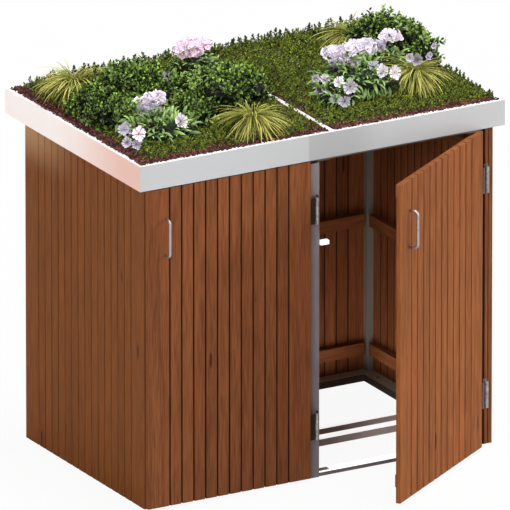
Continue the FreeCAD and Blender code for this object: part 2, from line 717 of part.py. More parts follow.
FREE_EDGE = f"(-hinge_reach - {DOOR_WIDTH})"
DOOR_BACK = "(pin_proud + board)"
HANDLE_X = f"({FREE_EDGE} + handle_inset)"
HANDLE_ENDS = ("(handle_centre - handle_spacing / 2)", "(handle_centre + handle_spacing / 2)")


def door_boards(side):
    """Board panel with holes for the hinge screws and the handle's bolts."""
    body = board_panel(f"{side}_door_boards", DOOR_WIDTH, DOOR_HEIGHT, left=FREE_EDGE,
                       face="pin_proud", bottom="door_bottom")
    drill(body, "XZ_Plane", f"-{DOOR_BACK}", door_screw_spots(), "screw_radius + screw_clear",
          "screw_length - leaf + screw_clear", flip=True, shape=octagon)
    drill(body, "XZ_Plane", f"-{DOOR_BACK}", [(HANDLE_X, end) for end in HANDLE_ENDS],
          "bolt_radius + screw_clear", "board", flip=True, shape=octagon)
    hang(body, side)
    keep(body)


def door_battens(side):
    """Three battens across the back of the door."""
    body = new_body(f"{side}_door_battens")
    battens(body, f"{FREE_EDGE} + batten_free_inset", DOOR_BACK, "-hinge_reach - batten_hinge_inset",
            f"{DOOR_BACK} + batten_depth", "(door_bottom + door_batten_low)", "door_batten_height",
            "door_batten_pitch", "(door_bottom + " + DOOR_HEIGHT + ")")
    hang(body, side)
    keep(body)


def handle(side):
    """Bow handle of eight-sided bar, standing on the door, with a blind hole in each foot."""
    body = new_body(f"{side}_door_handle")
    low, high = HANDLE_ENDS
    face = "pin_proud"
    grip = "(pin_proud - handle_standoff)"
    path = sketch_on(body, "YZ_Plane", HANDLE_X)
    ends = (((face, low), (f"{grip} + handle_bend", low)),
            ((grip, f"{low} + handle_bend"), (grip, f"{high} - handle_bend")),
            ((f"{grip} + handle_bend", high), (face, high)))
    for start, end in ends:
        a = Vector(number(start[0]), number(start[1]), 0)
        b = Vector(number(end[0]), number(end[1]), 0)
        line = path.addGeometry(Part.LineSegment(a, b))
        pin_point(path, line, 1, *start)
        pin_point(path, line, 2, *end)
    centre_y = number(f"{grip} + handle_bend")
    bend = number("handle_bend")
    for before, after, centre_z, sweep in ((0, 1, f"{low} + handle_bend", (180, 270)),
                                           (1, 2, f"{high} - handle_bend", (90, 180))):
        full = Part.Circle(Vector(centre_y, number(centre_z), 0), Vector(0, 0, 1), bend)
        first, last = (FreeCAD.Units.Quantity(f"{degrees} deg").getValueAs("rad").Value
                       for degrees in sweep)
        arc = path.addGeometry(Part.ArcOfCircle(full, first, last))
        path.addConstraint(Sketcher.Constraint("Tangent", before, 2, arc, 2))
        path.addConstraint(Sketcher.Constraint("Coincident", arc, 1, after, 1))
    section = sketch_on(body, "XZ_Plane", f"-{face}")
    octagon(section, HANDLE_X, low, "handle_radius")
    pipe = body.newObject("PartDesign::AdditivePipe", f"{body.Name}_bar")
    pipe.Profile = section
    pipe.Spine = path
    body.Tip = pipe
    drill(body, "XZ_Plane", f"-{face}", [(HANDLE_X, low), (HANDLE_X, high)],
          "bolt_radius + screw_clear", "bolt_grip + screw_clear", flip=True, shape=octagon)
    hang(body, side)
    keep(body)


def door_hardware(side, leaf, leaf_screw, handle_bolt):
    """Door leaves, their screws and the handle's bolts."""
    leaves = copies(leaf, [(0, 0, level, None) for level in HINGE_LEVELS])
    hang(group(f"{side}_door_hinge_leaves", leaves), side)
    heads = [(x, f"{DOOR_BACK} + leaf", z, POINTS_FRONT) for x, z in door_screw_spots()]
    bolts = [(HANDLE_X, DOOR_BACK, end, POINTS_FRONT) for end in HANDLE_ENDS]
    hang(group(f"{side}_door_fasteners", copies(leaf_screw, heads) + copies(handle_bolt, bolts)), side)


# Edge of the timber or post that each catch is screwed to, and the side of the tube behind it
CATCH_POSTS = {"left": (f"(-{STRIP})", f"(-{INSIDE} + tube)"), "right": (MID_RIGHT, MID_RIGHT)}


def strike_plate(side, free_edge):
    """Steel plate on the door's back, opposite the catch magnet."""
    body = new_body(f"{side}_door_strike_plate")
    post, tube_side = CATCH_POSTS[side]
    left = f"({FREE_EDGE} + {post} - {free_edge} + magnet_inset - strike_margin)"
    pad_box(body, left, DOOR_BACK, f"{left} + magnet_length + 2 * strike_margin",
            f"{DOOR_BACK} + catch_plate", "catch_low + catch_plate - strike_margin",
            "magnet_height + 2 * strike_margin")
    hang(body, side)
    keep(body)


def doors():
    """Both doors, alike but for the place of their strike plate."""
    leaf = door_leaf()
    leaf_screw = screw("leaf_screw", "screw_radius", "screw_length", "screw_head",
                       "screw_head_height")
    handle_bolt = screw("handle_bolt", "bolt_radius", "(board + bolt_grip)", "bolt_head",
                        "screw_head_height")
    for side, free_edge in (("left", f"(-{SIDE})"), ("right", RIGHT_FREE)):
        door_boards(side)
        door_battens(side)
        handle(side)
        door_hardware(side, leaf, leaf_screw, handle_bolt)
        strike_plate(side, free_edge)


# Door catches

def catches():
    """Bracket with a tapered shelf beside each closing post, and the magnet on it."""
    brackets = []
    magnets = []
    for side, (post, tube_side) in CATCH_POSTS.items():
        bracket = new_body(f"{side}_catch_bracket")
        front = f"{FRONT} - catch_plate"
        shelf = sketch_on(bracket, "XY_Plane", "catch_low")
        outline(shelf, ((f"{post} - catch_upright", front), (f"{post} + catch_reach", front),
                        (f"{post} + catch_taper", f"{FRONT} + catch_depth"),
                        (f"{tube_side} + fit", f"{FRONT} + catch_depth"), (f"{tube_side} + fit", FRONT),
                        (f"{post} - catch_upright", FRONT)))
        add(bracket, "Pad", shelf, "catch_plate")
        pad_box(bracket, f"{post} - catch_upright", front, post, FRONT, "catch_low", "catch_height")
        brackets.append(bracket)
        magnet = new_body(f"{side}_catch_magnet")
        left = f"{post} + magnet_inset"
        near = f"{FRONT} - door_gap + catch_plate + magnet_gap"
        pad_box(magnet, left, near, f"{left} + magnet_length", f"{FRONT} + magnet_back",
                "catch_low + catch_plate", "magnet_height")
        magnets.append(magnet)
    group("catch_brackets", brackets)
    group("catch_magnets", magnets)


# Planted roof

def ring(body, inset, width, bottom, height):
    """Add a rectangular ring that lies inside the roof's outline by inset and is width wide."""
    sketch = sketch_on(body, "XY_Plane", bottom)
    for offset in (inset, f"{inset} + {width}"):
        rectangle(sketch, f"-{ROOF_SIDE} + {offset}", f"{ROOF_FRONT} + {offset}",
                  f"{ROOF_SIDE} - ({offset})", f"{ROOF_BACK} - ({offset})")
    add(body, "Pad", sketch, height)


def fascia():
    """Folded steel surround: lip below, upright face and flat rim."""
    body = new_body("roof_fascia")
    ring(body, 0, "return_width", "roof_bottom", "fascia_sheet")
    ring(body, 0, "fascia_sheet", "roof_bottom", "fascia_height")
    ring(body, 0, "rim_width", f"{ROOF_TOP} - fascia_sheet", "fascia_sheet")
    keep(body)


PAN_EDGE = "(fascia_sheet + pan_clear)"
TRAYS = {
    "left": (f"(-{ROOF_SIDE} + {PAN_EDGE})", f"(divider_x - fascia_sheet / 2 - pan_clear)",
             f"(-{SIDE} + outlet_inset)"),
    "right": (f"(divider_x + fascia_sheet / 2 + pan_clear)", f"({ROOF_SIDE} - {PAN_EDGE})",
              f"({SIDE} - outlet_inset)"),
}
PAN_FRONT = f"({ROOF_FRONT} + {PAN_EDGE})"
PAN_BACK = f"({ROOF_BACK} - {PAN_EDGE})"
OUTLET_Y = f"({BACK} + outlet_behind_wall)"


def planting_trays():
    """Folded trays on the top rails, each with a drain hole behind the back wall."""
    for side, (left, right, outlet) in TRAYS.items():
        body = new_body(f"planting_tray_{side}")
        pad_box(body, left, PAN_FRONT, right, PAN_BACK, FRAME_TOP, "pan_sheet")
        sketch = sketch_on(body, "XY_Plane", FRAME_TOP)
        rectangle(sketch, left, PAN_FRONT, right, PAN_BACK)
        rectangle(sketch, f"{left} + pan_sheet", f"{PAN_FRONT} + pan_sheet",
                  f"{right} - pan_sheet", f"{PAN_BACK} - pan_sheet")
        add(body, "Pad", sketch, f"{ROOF_TOP} - fascia_sheet - {FRAME_TOP}")
        drill(body, "XY_Plane", f"{FRAME_TOP} + pan_sheet", [(outlet, OUTLET_Y)], "outlet_bore",
              "pan_sheet")
        keep(body)


def drain_spouts():
    """Flanged pipe stubs under the drain holes."""
    spouts = []
    for side, (left, right, outlet) in TRAYS.items():
        body = new_body(f"{side}_spout")
        turn(body, (("outlet_bore", "-outlet_length"), ("outlet_radius", "-outlet_length"),
                    ("outlet_radius", "-fascia_sheet"), ("outlet_flange", "-fascia_sheet"),
                    ("outlet_flange", 0), ("outlet_bore", 0)))
        place(body, outlet, OUTLET_Y, FRAME_TOP)
        spouts.append(body)
    group("drain_spouts", spouts)


def divider():
    """Capped bar over the edges of the two trays, level with the rim."""
    body = new_body("tray_divider")
    under_cap = f"({ROOF_TOP} - fascia_sheet)"
    pad_box(body, "divider_x - fascia_sheet / 2", PAN_FRONT, "divider_x + fascia_sheet / 2",
            PAN_BACK, FRAME_TOP, f"{under_cap} - {FRAME_TOP}")
    pad_box(body, "divider_x - divider_width / 2", f"{ROOF_FRONT} + rim_width",
            "divider_x + divider_width / 2", f"{ROOF_BACK} - rim_width", under_cap, "fascia_sheet")
    keep(body)


def roof_layers():
    """Drainage board, filter fleece and substrate in both trays, one on the other."""
    layers = (("drainage_boards", f"({FRAME_TOP} + pan_sheet)", "drain_layer"),
              ("filter_fleeces", f"({FRAME_TOP} + pan_sheet + drain_layer)", "fleece"),
              ("substrate", f"({FRAME_TOP} + pan_sheet + drain_layer + fleece)", None))
    inset = "(pan_sheet + soil_clear)"
    for name, bottom, height in layers:
        blocks = []
        for side, (left, right, outlet) in TRAYS.items():
            body = new_body(f"{name}_{side}")
            pad_box(body, f"{left} + {inset}", f"{PAN_FRONT} + {inset}", f"{right} - {inset}",
                    f"{PAN_BACK} - {inset}", bottom, height or f"{SOIL_TOP} - {bottom}")
            blocks.append(body)
        if height:
            group(name, blocks)
        else:
            for block in blocks:
                keep(block)


def sedum_mats():
    """Sedum mats on the substrate, with a bevelled edge, short of the bare gravel strips."""
    rim_left = f"(-{ROOF_SIDE} + rim_width)"
    rim_right = f"({ROOF_SIDE} - rim_width)"
    half_bar = "divider_width / 2"
    spans = {"left": (f"{rim_left} + gravel_strip", f"divider_x - {half_bar} - mat_margin"),
             "right": (f"divider_x + {half_bar} + mat_margin", f"{rim_right} - mat_margin")}
    for side, (left, right) in spans.items():
        body = new_body(f"sedum_mat_{side}")
        slab = pad_box(body, left, f"{ROOF_FRONT} + rim_width + gravel_strip", right,
                       f"{ROOF_BACK} - rim_width - mat_margin", SOIL_TOP, "mat_thickness")
        doc.recompute()
        near_top = number(f"{MAT_TOP} - mat_edge / 2")
        rim = [f"Edge{index}" for index, edge in enumerate(body.Shape.Edges, start=1)
               if edge.BoundBox.ZMin > near_top]
        bevel = body.newObject("PartDesign::Chamfer", f"{body.Name}_bevel")
        bevel.Base = (slab, rim)
        bind(bevel, "Size", "mat_edge")
        body.Tip = bevel
        keep(body)


def flat_face(corners):
    """Fill a closed run of corners that lie in one plane."""
    return Part.Face(Part.makePolygon([*corners, corners[0]]))


def plant(name, middle, half_width, behind, half_depth, height, levels):
    """Faceted clump on the sedum mat: rings of one wavy outline, joined by flat faces."""
    wide = half_width * number("body_width")
    deep = half_depth * number("body_depth")
    tall = number(height)
    turns = [2 * math.pi * index / PLANT_SIDES for index in range(PLANT_SIDES)]
    waves = [1 - PLANT_DENT * math.sin(PLANT_WAVES * turn_angle / 2) ** 2 for turn_angle in turns]
    rings = [[Vector(wide * reach * wave * math.cos(turn_angle),
                     deep * reach * wave * math.sin(turn_angle), up * tall)
              for turn_angle, wave in zip(turns, waves)]
             for up, reach in levels]
    faces = [flat_face(rings[0]), flat_face(rings[-1])]
    for lower, upper in zip(rings, rings[1:]):
        for index in range(PLANT_SIDES):
            following = (index + 1) % PLANT_SIDES
            faces.append(flat_face((lower[index], lower[following], upper[following], upper[index])))
    clump = doc.addObject("Part::Feature", name)
    clump.Shape = Part.makeSolid(Part.makeShell(faces))
    place(clump, f"{middle} * body_width", f"{FRONT} + {behind} * body_depth", MAT_TOP)
    return clump


def plants():
    """Box bushes, flowering clumps and grass tufts on the roof."""
    for label, kinds, tallest, levels in (("box_bushes", BUSHES, "bush_height", BUSH_LEVELS),
                                          ("flower_clumps", FLOWERS, "flower_height", LOW_LEVELS),
                                          ("grass_tufts", TUFTS, "grass_height", LOW_LEVELS)):
        group(label, [plant(f"{label}_{name}", *sizes, f"{share} * {tallest}", levels)
                      for name, *sizes, share in kinds])


def check_and_write():
    """Stop on anything failed, then write each sub-part's solids to its own file."""
    doc.recompute()
    broken = [item.Label for item in doc.Objects
              if "Invalid" in item.State or "Error" in item.State]
    for item in doc.Objects:
        if item.TypeId == "PartDesign::Pocket":
            if item.Shape.Volume >= item.BaseFeature.Shape.Volume - 0.01:
                broken.append(f"{item.Label} cuts nothing")
    for node in nodes:
        if node.Shape.isNull() or not node.Shape.isValid() or not node.Shape.Solids:
            broken.append(node.Label)
    if broken:
        raise RuntimeError(f"failed: {broken}")
    os.makedirs("parts", exist_ok=True)
    for node in nodes:
        node.Shape.exportStep(f"parts/{node.Label}.step")
        print(node.Label, len(node.Shape.Solids), "solids", round(node.Shape.Volume / 1000), "cm3")


fill_sheet()
base_frame()
posts()
top_frame()
corner_brackets()
walls()
wall_battens()
jamb_strips()
frame_hinges()
doors()
catches()
fascia()
planting_trays()
drain_spouts()
divider()
roof_layers()
sedum_mats()
plants()
check_and_write()
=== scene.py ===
"""Planted wheelie bin store: the looks of the finished object, in the frame of its CAD model.

The script loads the CAD frame, gives each CAD node its finish, replaces the planting and the door
handles with detailed pieces, and sets up the camera, the floor and the light of the photograph.
+X is to the right, -Y to the front and +Z up. Lengths are in metres, and the places and sizes of
plants in millimetres.
"""
import logging
import math
import random
from dataclasses import dataclass
from enum import Enum
from typing import Callable, Iterable, Sequence

import bmesh
import bpy
from mathutils import Matrix, Vector, noise


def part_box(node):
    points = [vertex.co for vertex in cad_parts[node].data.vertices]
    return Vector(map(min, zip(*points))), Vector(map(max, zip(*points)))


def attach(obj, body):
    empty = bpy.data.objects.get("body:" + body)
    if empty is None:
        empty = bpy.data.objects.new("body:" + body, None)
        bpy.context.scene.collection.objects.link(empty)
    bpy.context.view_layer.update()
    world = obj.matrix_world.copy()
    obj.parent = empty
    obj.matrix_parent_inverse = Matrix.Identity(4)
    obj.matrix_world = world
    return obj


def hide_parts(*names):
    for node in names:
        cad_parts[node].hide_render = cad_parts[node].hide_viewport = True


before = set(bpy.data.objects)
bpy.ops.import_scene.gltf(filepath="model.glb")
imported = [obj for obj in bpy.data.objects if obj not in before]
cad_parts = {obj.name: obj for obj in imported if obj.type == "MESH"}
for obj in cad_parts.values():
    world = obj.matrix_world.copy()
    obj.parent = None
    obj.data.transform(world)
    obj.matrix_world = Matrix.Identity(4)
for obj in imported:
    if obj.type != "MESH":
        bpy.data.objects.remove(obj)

log = logging.getLogger("bin_store")

Colour = tuple[float, float, float]
Triple = tuple[float, float, float]
Pair = tuple[float, float]
Mesh = bpy.types.Mesh

# Where the walls' front lies, and the height in millimetres from which the planting is measured.
FRONT = -0.415
CARPET = 1256
# The right door's hinge axis, and the angle in degrees by which it stands open.
HINGE_AXIS = (0.63975, -0.448)
DOOR_TURN = 34.0
SIDES = ("left", "right")
# How deep light reaches into a leaf, and the heights between which painted shade on the planting fades out.
GLOW_DEPTH = 0.004
SHADED = (1.262, 1.340)
# Upper limit of copies on a square metre, which the gap between them keeps low.
DENSEST = 600000.0
BLACK = (0.0, 0.0, 0.0)
WHITE = (1.0, 1.0, 1.0, 1.0)


def linear(red: float, green: float, blue: float) -> Colour:
    """Turn a colour as seen on screen, 0 to 255, into linear light."""
    def channel(value: float) -> float:
        """One channel in linear light."""
        part = value / 255.0
        return part / 12.92 if part <= 0.04045 else ((part + 0.055) / 1.055) ** 2.4
    return (channel(red), channel(green), channel(blue))


def scaled(colour: Colour, factor: float) -> Colour:
    """A colour made darker or lighter."""
    return tuple(part * factor for part in colour)


def arithmetic(operation: str, reflected: bool = False) -> Callable:
    """An arithmetic operator of Value for numbers, vectors and colours, which adds one node.

    Args:
        operation: The node's operation.
        reflected: Whether the Value stands behind the operator.

    Returns:
        The operator.
    """
    def apply(value: "Value", other: object) -> "Value":
        """Add the node for a Value and another operand."""
        first, second = (other, value) if reflected else (value, other)
        kinds = {item.socket.type for item in (value, other) if isinstance(item, Value)}
        maker = value.maker
        if "RGBA" in kinds:
            return maker.mix(1.0, first, second, operation)
        if "VECTOR" in kinds:
            pair = [item if isinstance(item, (Value, tuple)) else (item,) * 3 for item in (first, second)]
            return maker.node("ShaderNodeVectorMath", {"operation": operation}, dict(enumerate(pair)))
        return maker.math(operation, first, second)
    return apply


class Value:
    """One output socket of a node, which can be used in sums and led on into further nodes."""

    def __init__(self, maker: "NodeMaker", socket: bpy.types.NodeSocket) -> None:
        """Keep the socket and the maker of its tree."""
        self.maker = maker
        self.socket = socket

    __add__ = arithmetic("ADD")
    __radd__ = arithmetic("ADD", True)
    __sub__ = arithmetic("SUBTRACT")
    __rsub__ = arithmetic("SUBTRACT", True)
    __mul__ = arithmetic("MULTIPLY")
    __rmul__ = arithmetic("MULTIPLY", True)
    __truediv__ = arithmetic("DIVIDE")
    __rtruediv__ = arithmetic("DIVIDE", True)

    def other(self, output: int | str) -> "Value":
        """Another output of the same node."""
        return Value(self.maker, self.socket.node.outputs[output])

    def parts(self) -> tuple["Value", "Value", "Value"]:
        """The three parts of a vector."""
        first = self.maker.node("ShaderNodeSeparateXYZ", None, {0: self})
        return first, first.other(1), first.other(2)

    def ramp(self, low: float, high: float, start: float = 0.0, end: float = 1.0) -> "Value":
        """A smooth step from start to end as the value goes from low to high."""
        return self.maker.node("ShaderNodeMapRange", {"interpolation_type": "SMOOTHSTEP"}, {
            "Value": self, "From Min": low, "From Max": high, "To Min": start, "To Max": end})

    def mix(self, first: "Value | Colour", second: "Value | Colour") -> "Value":
        """The first colour where the value is 0, the second where it is 1."""
        return self.maker.mix(self, first, second)

    def noise(self, scale: float, detail: float = 2.0, roughness: float = 0.5) -> "Value":
        """Noise from 0 to 1 at a place."""
        return self.maker.node("ShaderNodeTexNoise", None, {
            "Vector": self, "Scale": scale, "Detail": detail, "Roughness": roughness})

    def cells(self, scale: float) -> "Value":
        """Distance from a place to the nearest cell centre."""
        return self.maker.node("ShaderNodeTexVoronoi", None, {"Vector": self, "Scale": scale})

    def random(self) -> "Value":
        """A random number from 0 to 1 that depends on the value alone."""
        return self.maker.node("ShaderNodeTexWhiteNoise", {"noise_dimensions": "1D"}, {"W": self})

    def bump(self, distance: float, strength: float = 0.5) -> "Value":
        """A normal from a height, the distance being the height of 1 in metres."""
        return self.maker.node("ShaderNodeBump", None, {
            "Height": self, "Distance": distance, "Strength": strength}, "Normal")


Number = Value | float


class NodeMaker:
    """Makes and links the nodes of one shader or geometry tree."""

    def __init__(self, tree: bpy.types.NodeTree) -> None:
        """Keep the tree."""
        self.tree = tree

    def node(self, kind: str, settings: dict | None = None, inputs: dict | None = None,
             output: int | str = 0) -> Value:
        """Make one node.

        Args:
            kind: The node's type name.
            settings: Properties of the node, set before its sockets.
            inputs: Socket name or number to a value, or to a Value that is linked.
            output: The output socket to return.

        Returns:
            The chosen output as a Value.
        """
        made = self.tree.nodes.new(kind)
        for name, value in (settings or {}).items():
            setattr(made, name, value)
        for key, value in (inputs or {}).items():
            if isinstance(value, Value):
                self.tree.links.new(value.socket, made.inputs[key])
            else:
                made.inputs[key].default_value = value
        return Value(self, made.outputs[output] if len(made.outputs) else None)

    def math(self, operation: str, first: Number, second: Number = 0.0) -> Value:
        """One Math node."""
        return self.node("ShaderNodeMath", {"operation": operation}, {0: first, 1: second})

    def mix(self, factor: Number, first: object, second: object, blend: str = "MIX") -> Value:
        """Mix two colours.

        Args:
            factor: How much of the second shows.
            first: A Value, a colour or a number.
            second: The same.
            blend: How they are mixed.

        Returns:
            The mixed colour.
        """
        pair = [item if isinstance(item, Value) else (*item, 1.0) if isinstance(item, tuple)
                else (item, item, item, 1.0) for item in (first, second)]
        return self.node("ShaderNodeMix", {"data_type": "RGBA", "blend_type": blend},
                         {0: factor, 6: pair[0], 7: pair[1]}, 2)

    def place(self, turn: float = 0.0, pivot: Pair = (0.0, 0.0)) -> Value:
        """Where a point lies on its piece.

        Args:
            turn: Angle in degrees about an upright axis by which the place is turned back.
            pivot: Where that axis stands.

        Returns:
            Object coordinates.
        """
        where = self.node("ShaderNodeTexCoord", None, None, "Object")
        if turn == 0.0:
            return where
        back = Matrix.Rotation(math.radians(-turn), 3, "Z") @ Vector((*pivot, 0.0))
        return self.node("ShaderNodeMapping", {"vector_type": "POINT"}, {
            "Vector": where, "Location": tuple(-back), "Rotation": (0.0, 0.0, math.radians(-turn))})

    def vector(self, x: Number, y: Number, z: Number) -> Value:
        """A vector from its three parts."""
        return self.node("ShaderNodeCombineXYZ", None, {0: x, 1: y, 2: z})

    def attribute(self, name: str) -> Value:
        """A number kept on the mesh."""
        return self.node("ShaderNodeAttribute", {"attribute_name": name}, None, "Fac")

    def facing(self) -> tuple[Value, Value, Value]:
        """The three parts of the surface's normal."""
        return self.node("ShaderNodeNewGeometry", None, None, "Normal").parts()


def fresh_nodes(owner: bpy.types.Material | bpy.types.World) -> NodeMaker:
    """Empty the node tree of a material or a world, for new nodes."""
    owner.use_nodes = True
    owner.node_tree.nodes.clear()
    return NodeMaker(owner.node_tree)


@dataclass(frozen=True)
class Surface:
    """What a finish gives its shader."""

    colour: Value
    roughness: Number = 0.5
    metallic: float = 0.0
    normal: Value | None = None
    glow: float = 0.0
    sheen: float = 0.5
    # light is emission, which every finish here uses only as a painted glow.
    light: Value | None = None


@dataclass(frozen=True)
class Finish:
    """A named finish; each kind of finish draws its own surface."""

    name: str

    def paint(self, maker: NodeMaker) -> Surface:
        """Draw the surface's nodes."""
        raise NotImplementedError

    def material(self) -> bpy.types.Material:
        """The finish's material, made once."""
        label = f"finish_{self.name}"
        made = bpy.data.materials.get(label)
        if made is not None:
            return made
        made = bpy.data.materials.new(label)
        maker = fresh_nodes(made)
        surface = self.paint(maker)
        inputs = {"Base Color": surface.colour, "Roughness": surface.roughness,
                  "Metallic": surface.metallic, "Subsurface Weight": surface.glow,
                  "Subsurface Scale": GLOW_DEPTH, "Specular IOR Level": surface.sheen}
        if surface.normal is not None:
            inputs["Normal"] = surface.normal
        if surface.light is not None:
            inputs["Emission Color"] = surface.light
            inputs["Emission Strength"] = 1.0
        shader = maker.node("ShaderNodeBsdfPrincipled", None, inputs)
        maker.node("ShaderNodeOutputMaterial", None, {"Surface": shader})
        return made


class Axis(Enum):
    """A direction of the model."""

    X = 0
    Y = 1
    Z = 2


@dataclass(frozen=True)
class Boards:
    """How the boards of one panel lie.

    Args:
        across: The direction in which the boards follow each other.
        along: The direction of the grain.
        start: Where the first board starts.
        wide: Width of the board at each end.
        pitch: From one slat to the next.
        slats: Number of slats between the end boards.
        turn: Angle in degrees by which the whole panel stands open.
        groove: Width of the groove between two boards.
    """

    across: Axis
    along: Axis
    start: float
    wide: float = 0.083
    pitch: float = 0.0462
    slats: int = 10
    turn: float = 0.0
    groove: float = 0.005


@dataclass(frozen=True)
class Timber(Finish):
    """Oiled hardwood with grain, knots and a tone of its own on each board.

    cut is how dark the grooves are and gap how far their shadow reaches. uneven is how far the tones
    of the boards lie apart, and figure half the step from dark to light grain. pale lightens the upper
    corner at the back, and foot is painted shade that darkens the slats towards the ground.
    """

    boards: Boards
    dark: Colour
    light: Colour
    seed: float
    cut: float = 0.85
    gap: float = 0.0034
    uneven: float = 0.34
    figure: float = 0.15
    pale: float = 0.0
    foot: float = 0.0

    def paint(self, maker: NodeMaker) -> Surface:
        """Draw grain, bands, knots and dark grooves."""
        boards = self.boards
        parts = maker.place(boards.turn, HINGE_AXIS).parts()
        across = parts[boards.across.value] - boards.start
        along = parts[boards.along.value]
        deep = parts[3 - boards.across.value - boards.along.value]
        step = (across - (boards.wide + boards.groove / 2)) / boards.pitch
        board = maker.node("ShaderNodeClamp", None, {
            "Value": maker.math("FLOOR", step), "Min": -1.0, "Max": float(boards.slats)})
        tone = (board + self.seed).random()
        shift = tone * 9.0
        bent = across + maker.vector(across + shift, deep, along * 0.5 + shift).noise(3.0, 1.0) * 0.016
        grain = maker.vector(bent + shift, deep, along * 0.016).noise(420.0, 3.0, 0.6)
        bands = maker.vector(bent + shift, deep, along * 0.035 + shift).noise(60.0, 3.0)
        clouds = maker.vector(across + shift, deep, along * 0.35 + shift).noise(7.0)
        streak = maker.vector(bent - shift, deep, along * 0.05 + shift).noise(210.0)
        rings = maker.vector(bent + shift, deep, along * 0.12).noise(190.0)
        near = maker.vector(across + shift, deep * 0.2, along * 0.20 + shift).cells(11.0)
        knots = (near + rings * 0.05).ramp(0.072, 0.115, 1.0, 0.0)
        marks = maker.math("MAXIMUM", knots * 0.75, streak.ramp(0.71, 0.82) * 0.36)
        lines = bands * 0.30 + streak * 0.45 + grain * 0.25
        colour = lines.ramp(0.5 - self.figure, 0.5 + self.figure).mix(self.dark, self.light)
        colour = colour * (tone * self.uneven + clouds * 0.08 + (0.97 - self.uneven / 2))
        red, green, blue = self.light
        colour = (clouds.ramp(0.5, 0.75) * 0.3).mix(colour, (red * 1.08, green * 0.86, blue * 0.78))
        colour = marks.mix(colour, scaled(self.dark, 0.25))
        # Painted shade: the slats grow darker towards the ground.
        if self.foot:
            darker = along.ramp(0.0, 1.05, 1.0, 0.0) * across.ramp(0.07, 0.13)
            colour = colour * (1.0 - darker * self.foot)
        if boards.slats:
            within = maker.math("PINGPONG", step, 0.5) * boards.pitch
            before = maker.math("LESS_THAN", step, -0.3)
            beyond = maker.math("GREATER_THAN", step, boards.slats + 0.3)
            groove = (within + (before + beyond)).ramp(self.gap - 0.0013, self.gap, 1.0, 0.0)
            colour = (groove * self.cut).mix(colour, linear(24, 13, 8))
        if self.pale:
            faded = along.ramp(0.98, 1.13) * across.ramp(0.41, 0.82) * self.pale
            colour = faded.mix(colour, linear(190, 148, 108))
        height = grain * 0.7 + marks * -0.4
        return Surface(colour, 0.50 + bands * 0.2, normal=height.bump(0.0004), sheen=0.08)


@dataclass(frozen=True)
class Coated(Finish):
    """Powder-coated steel whose upward faces take a colour of their own, painted light or painted shade.

    shine is a painted glow that its upper faces give off, and low the share of colour left
    at the ground, a painted shade.
    """

    colour: Colour
    top: Colour
    painted_glow: Colour = BLACK
    low: float = 1.0

    def paint(self, maker: NodeMaker) -> Surface:
        """Draw the coat: clouds, dust, a skin, painted shade at the foot and painted light on top."""
        place = maker.place()
        dust = place.noise(420.0)
        up = maker.facing()[2].ramp(0.55, 0.9)
        colour = place.noise(9.0, 3.0).ramp(0.35, 0.7).mix(self.colour, scaled(self.colour, 0.86))
        colour = (dust.ramp(0.66, 0.8) * 0.15).mix(colour, linear(70, 64, 58))
        # Painted shade towards the ground, and painted light or shade in the top colour on upward faces.
        colour = up.mix(colour * place.parts()[2].ramp(0.0, 1.0, self.low, 1.0), self.top)
        # The upward faces also give off a painted glow.
        return Surface(colour, 0.42 + dust * 0.1, normal=dust.bump(0.0001), light=up.mix(BLACK, self.painted_glow))


@dataclass(frozen=True)
class Sheet(Finish):
    """The roof's folded sheet: satin light grey, each face in painted light or shade, with painted
    reflections of what stands around it and a faint painted glow on its left face.
    """

    front: Colour
    side: Colour
    top: Colour

    def paint(self, maker: NodeMaker) -> Surface:
        """Draw the painted light and shade of the faces with soft clouds and a fine skin."""
        place = maker.place()
        x, y, z = maker.facing()
        across, deep, _ = place.parts()
        clouds = (place * (1.0, 1.0, 0.4)).noise(2.2)
        skin = place.noise(700.0)
        front = clouds.ramp(0.4, 0.75).mix(self.front, scaled(self.front, 0.94))
        # Painted reflection: a darker band where the open door shows in the front.
        mirrored = across.ramp(-0.062, -0.050) * across.ramp(-0.02, 0.26, 1.0, 0.0)
        # Painted light: a lighter band further right on the front.
        lighter = across.ramp(0.10, 0.28) * across.ramp(0.36, 0.58, 1.0, 0.0)
        to_front = y.ramp(-0.8, -0.4, 1.0, 0.0)
        front = front * (1.0 + (lighter * 0.12 - mirrored * 0.17) * to_front)
        # Painted reflection: a pink tint of the wood on the left face.
        painted_reflection_tint = (deep + clouds * 0.25).ramp(-0.22, 0.30, 1.0, 0.0)
        to_left = x.ramp(-0.8, -0.4, 1.0, 0.0)
        colour = to_left.mix(front, painted_reflection_tint.mix(self.side, linear(234, 190, 177)))
        # Painted shade on the right-facing faces, and painted light on the upward faces.
        colour = (x.ramp(0.4, 0.8) * 0.3).mix(colour, scaled(self.front, 0.7))
        colour = z.ramp(0.5, 0.9).mix(colour, self.top)
        # A faint painted glow on the left face.
        return Surface(colour, 0.40 + skin * 0.08, normal=skin.bump(0.00005), sheen=0.2,
                       light=colour * to_left * 0.11)


def scratches(place: Value) -> Value:
    """Fine level scratches of brushed steel."""
    return (place * (1.0, 1.0, 14.0)).noise(260.0, 3.0)


@dataclass(frozen=True)
class Bright(Finish):
    """Brushed bright steel."""

    colour: Colour

    def paint(self, maker: NodeMaker) -> Surface:
        """Draw the brushed skin with soft stains."""
        place = maker.place()
        brushed = scratches(place)
        colour = place.noise(30.0, 3.0).ramp(0.4, 0.75).mix(self.colour, scaled(self.colour, 0.7))
        return Surface(colour, 0.3 + brushed * 0.16, 0.9, brushed.bump(0.00008))


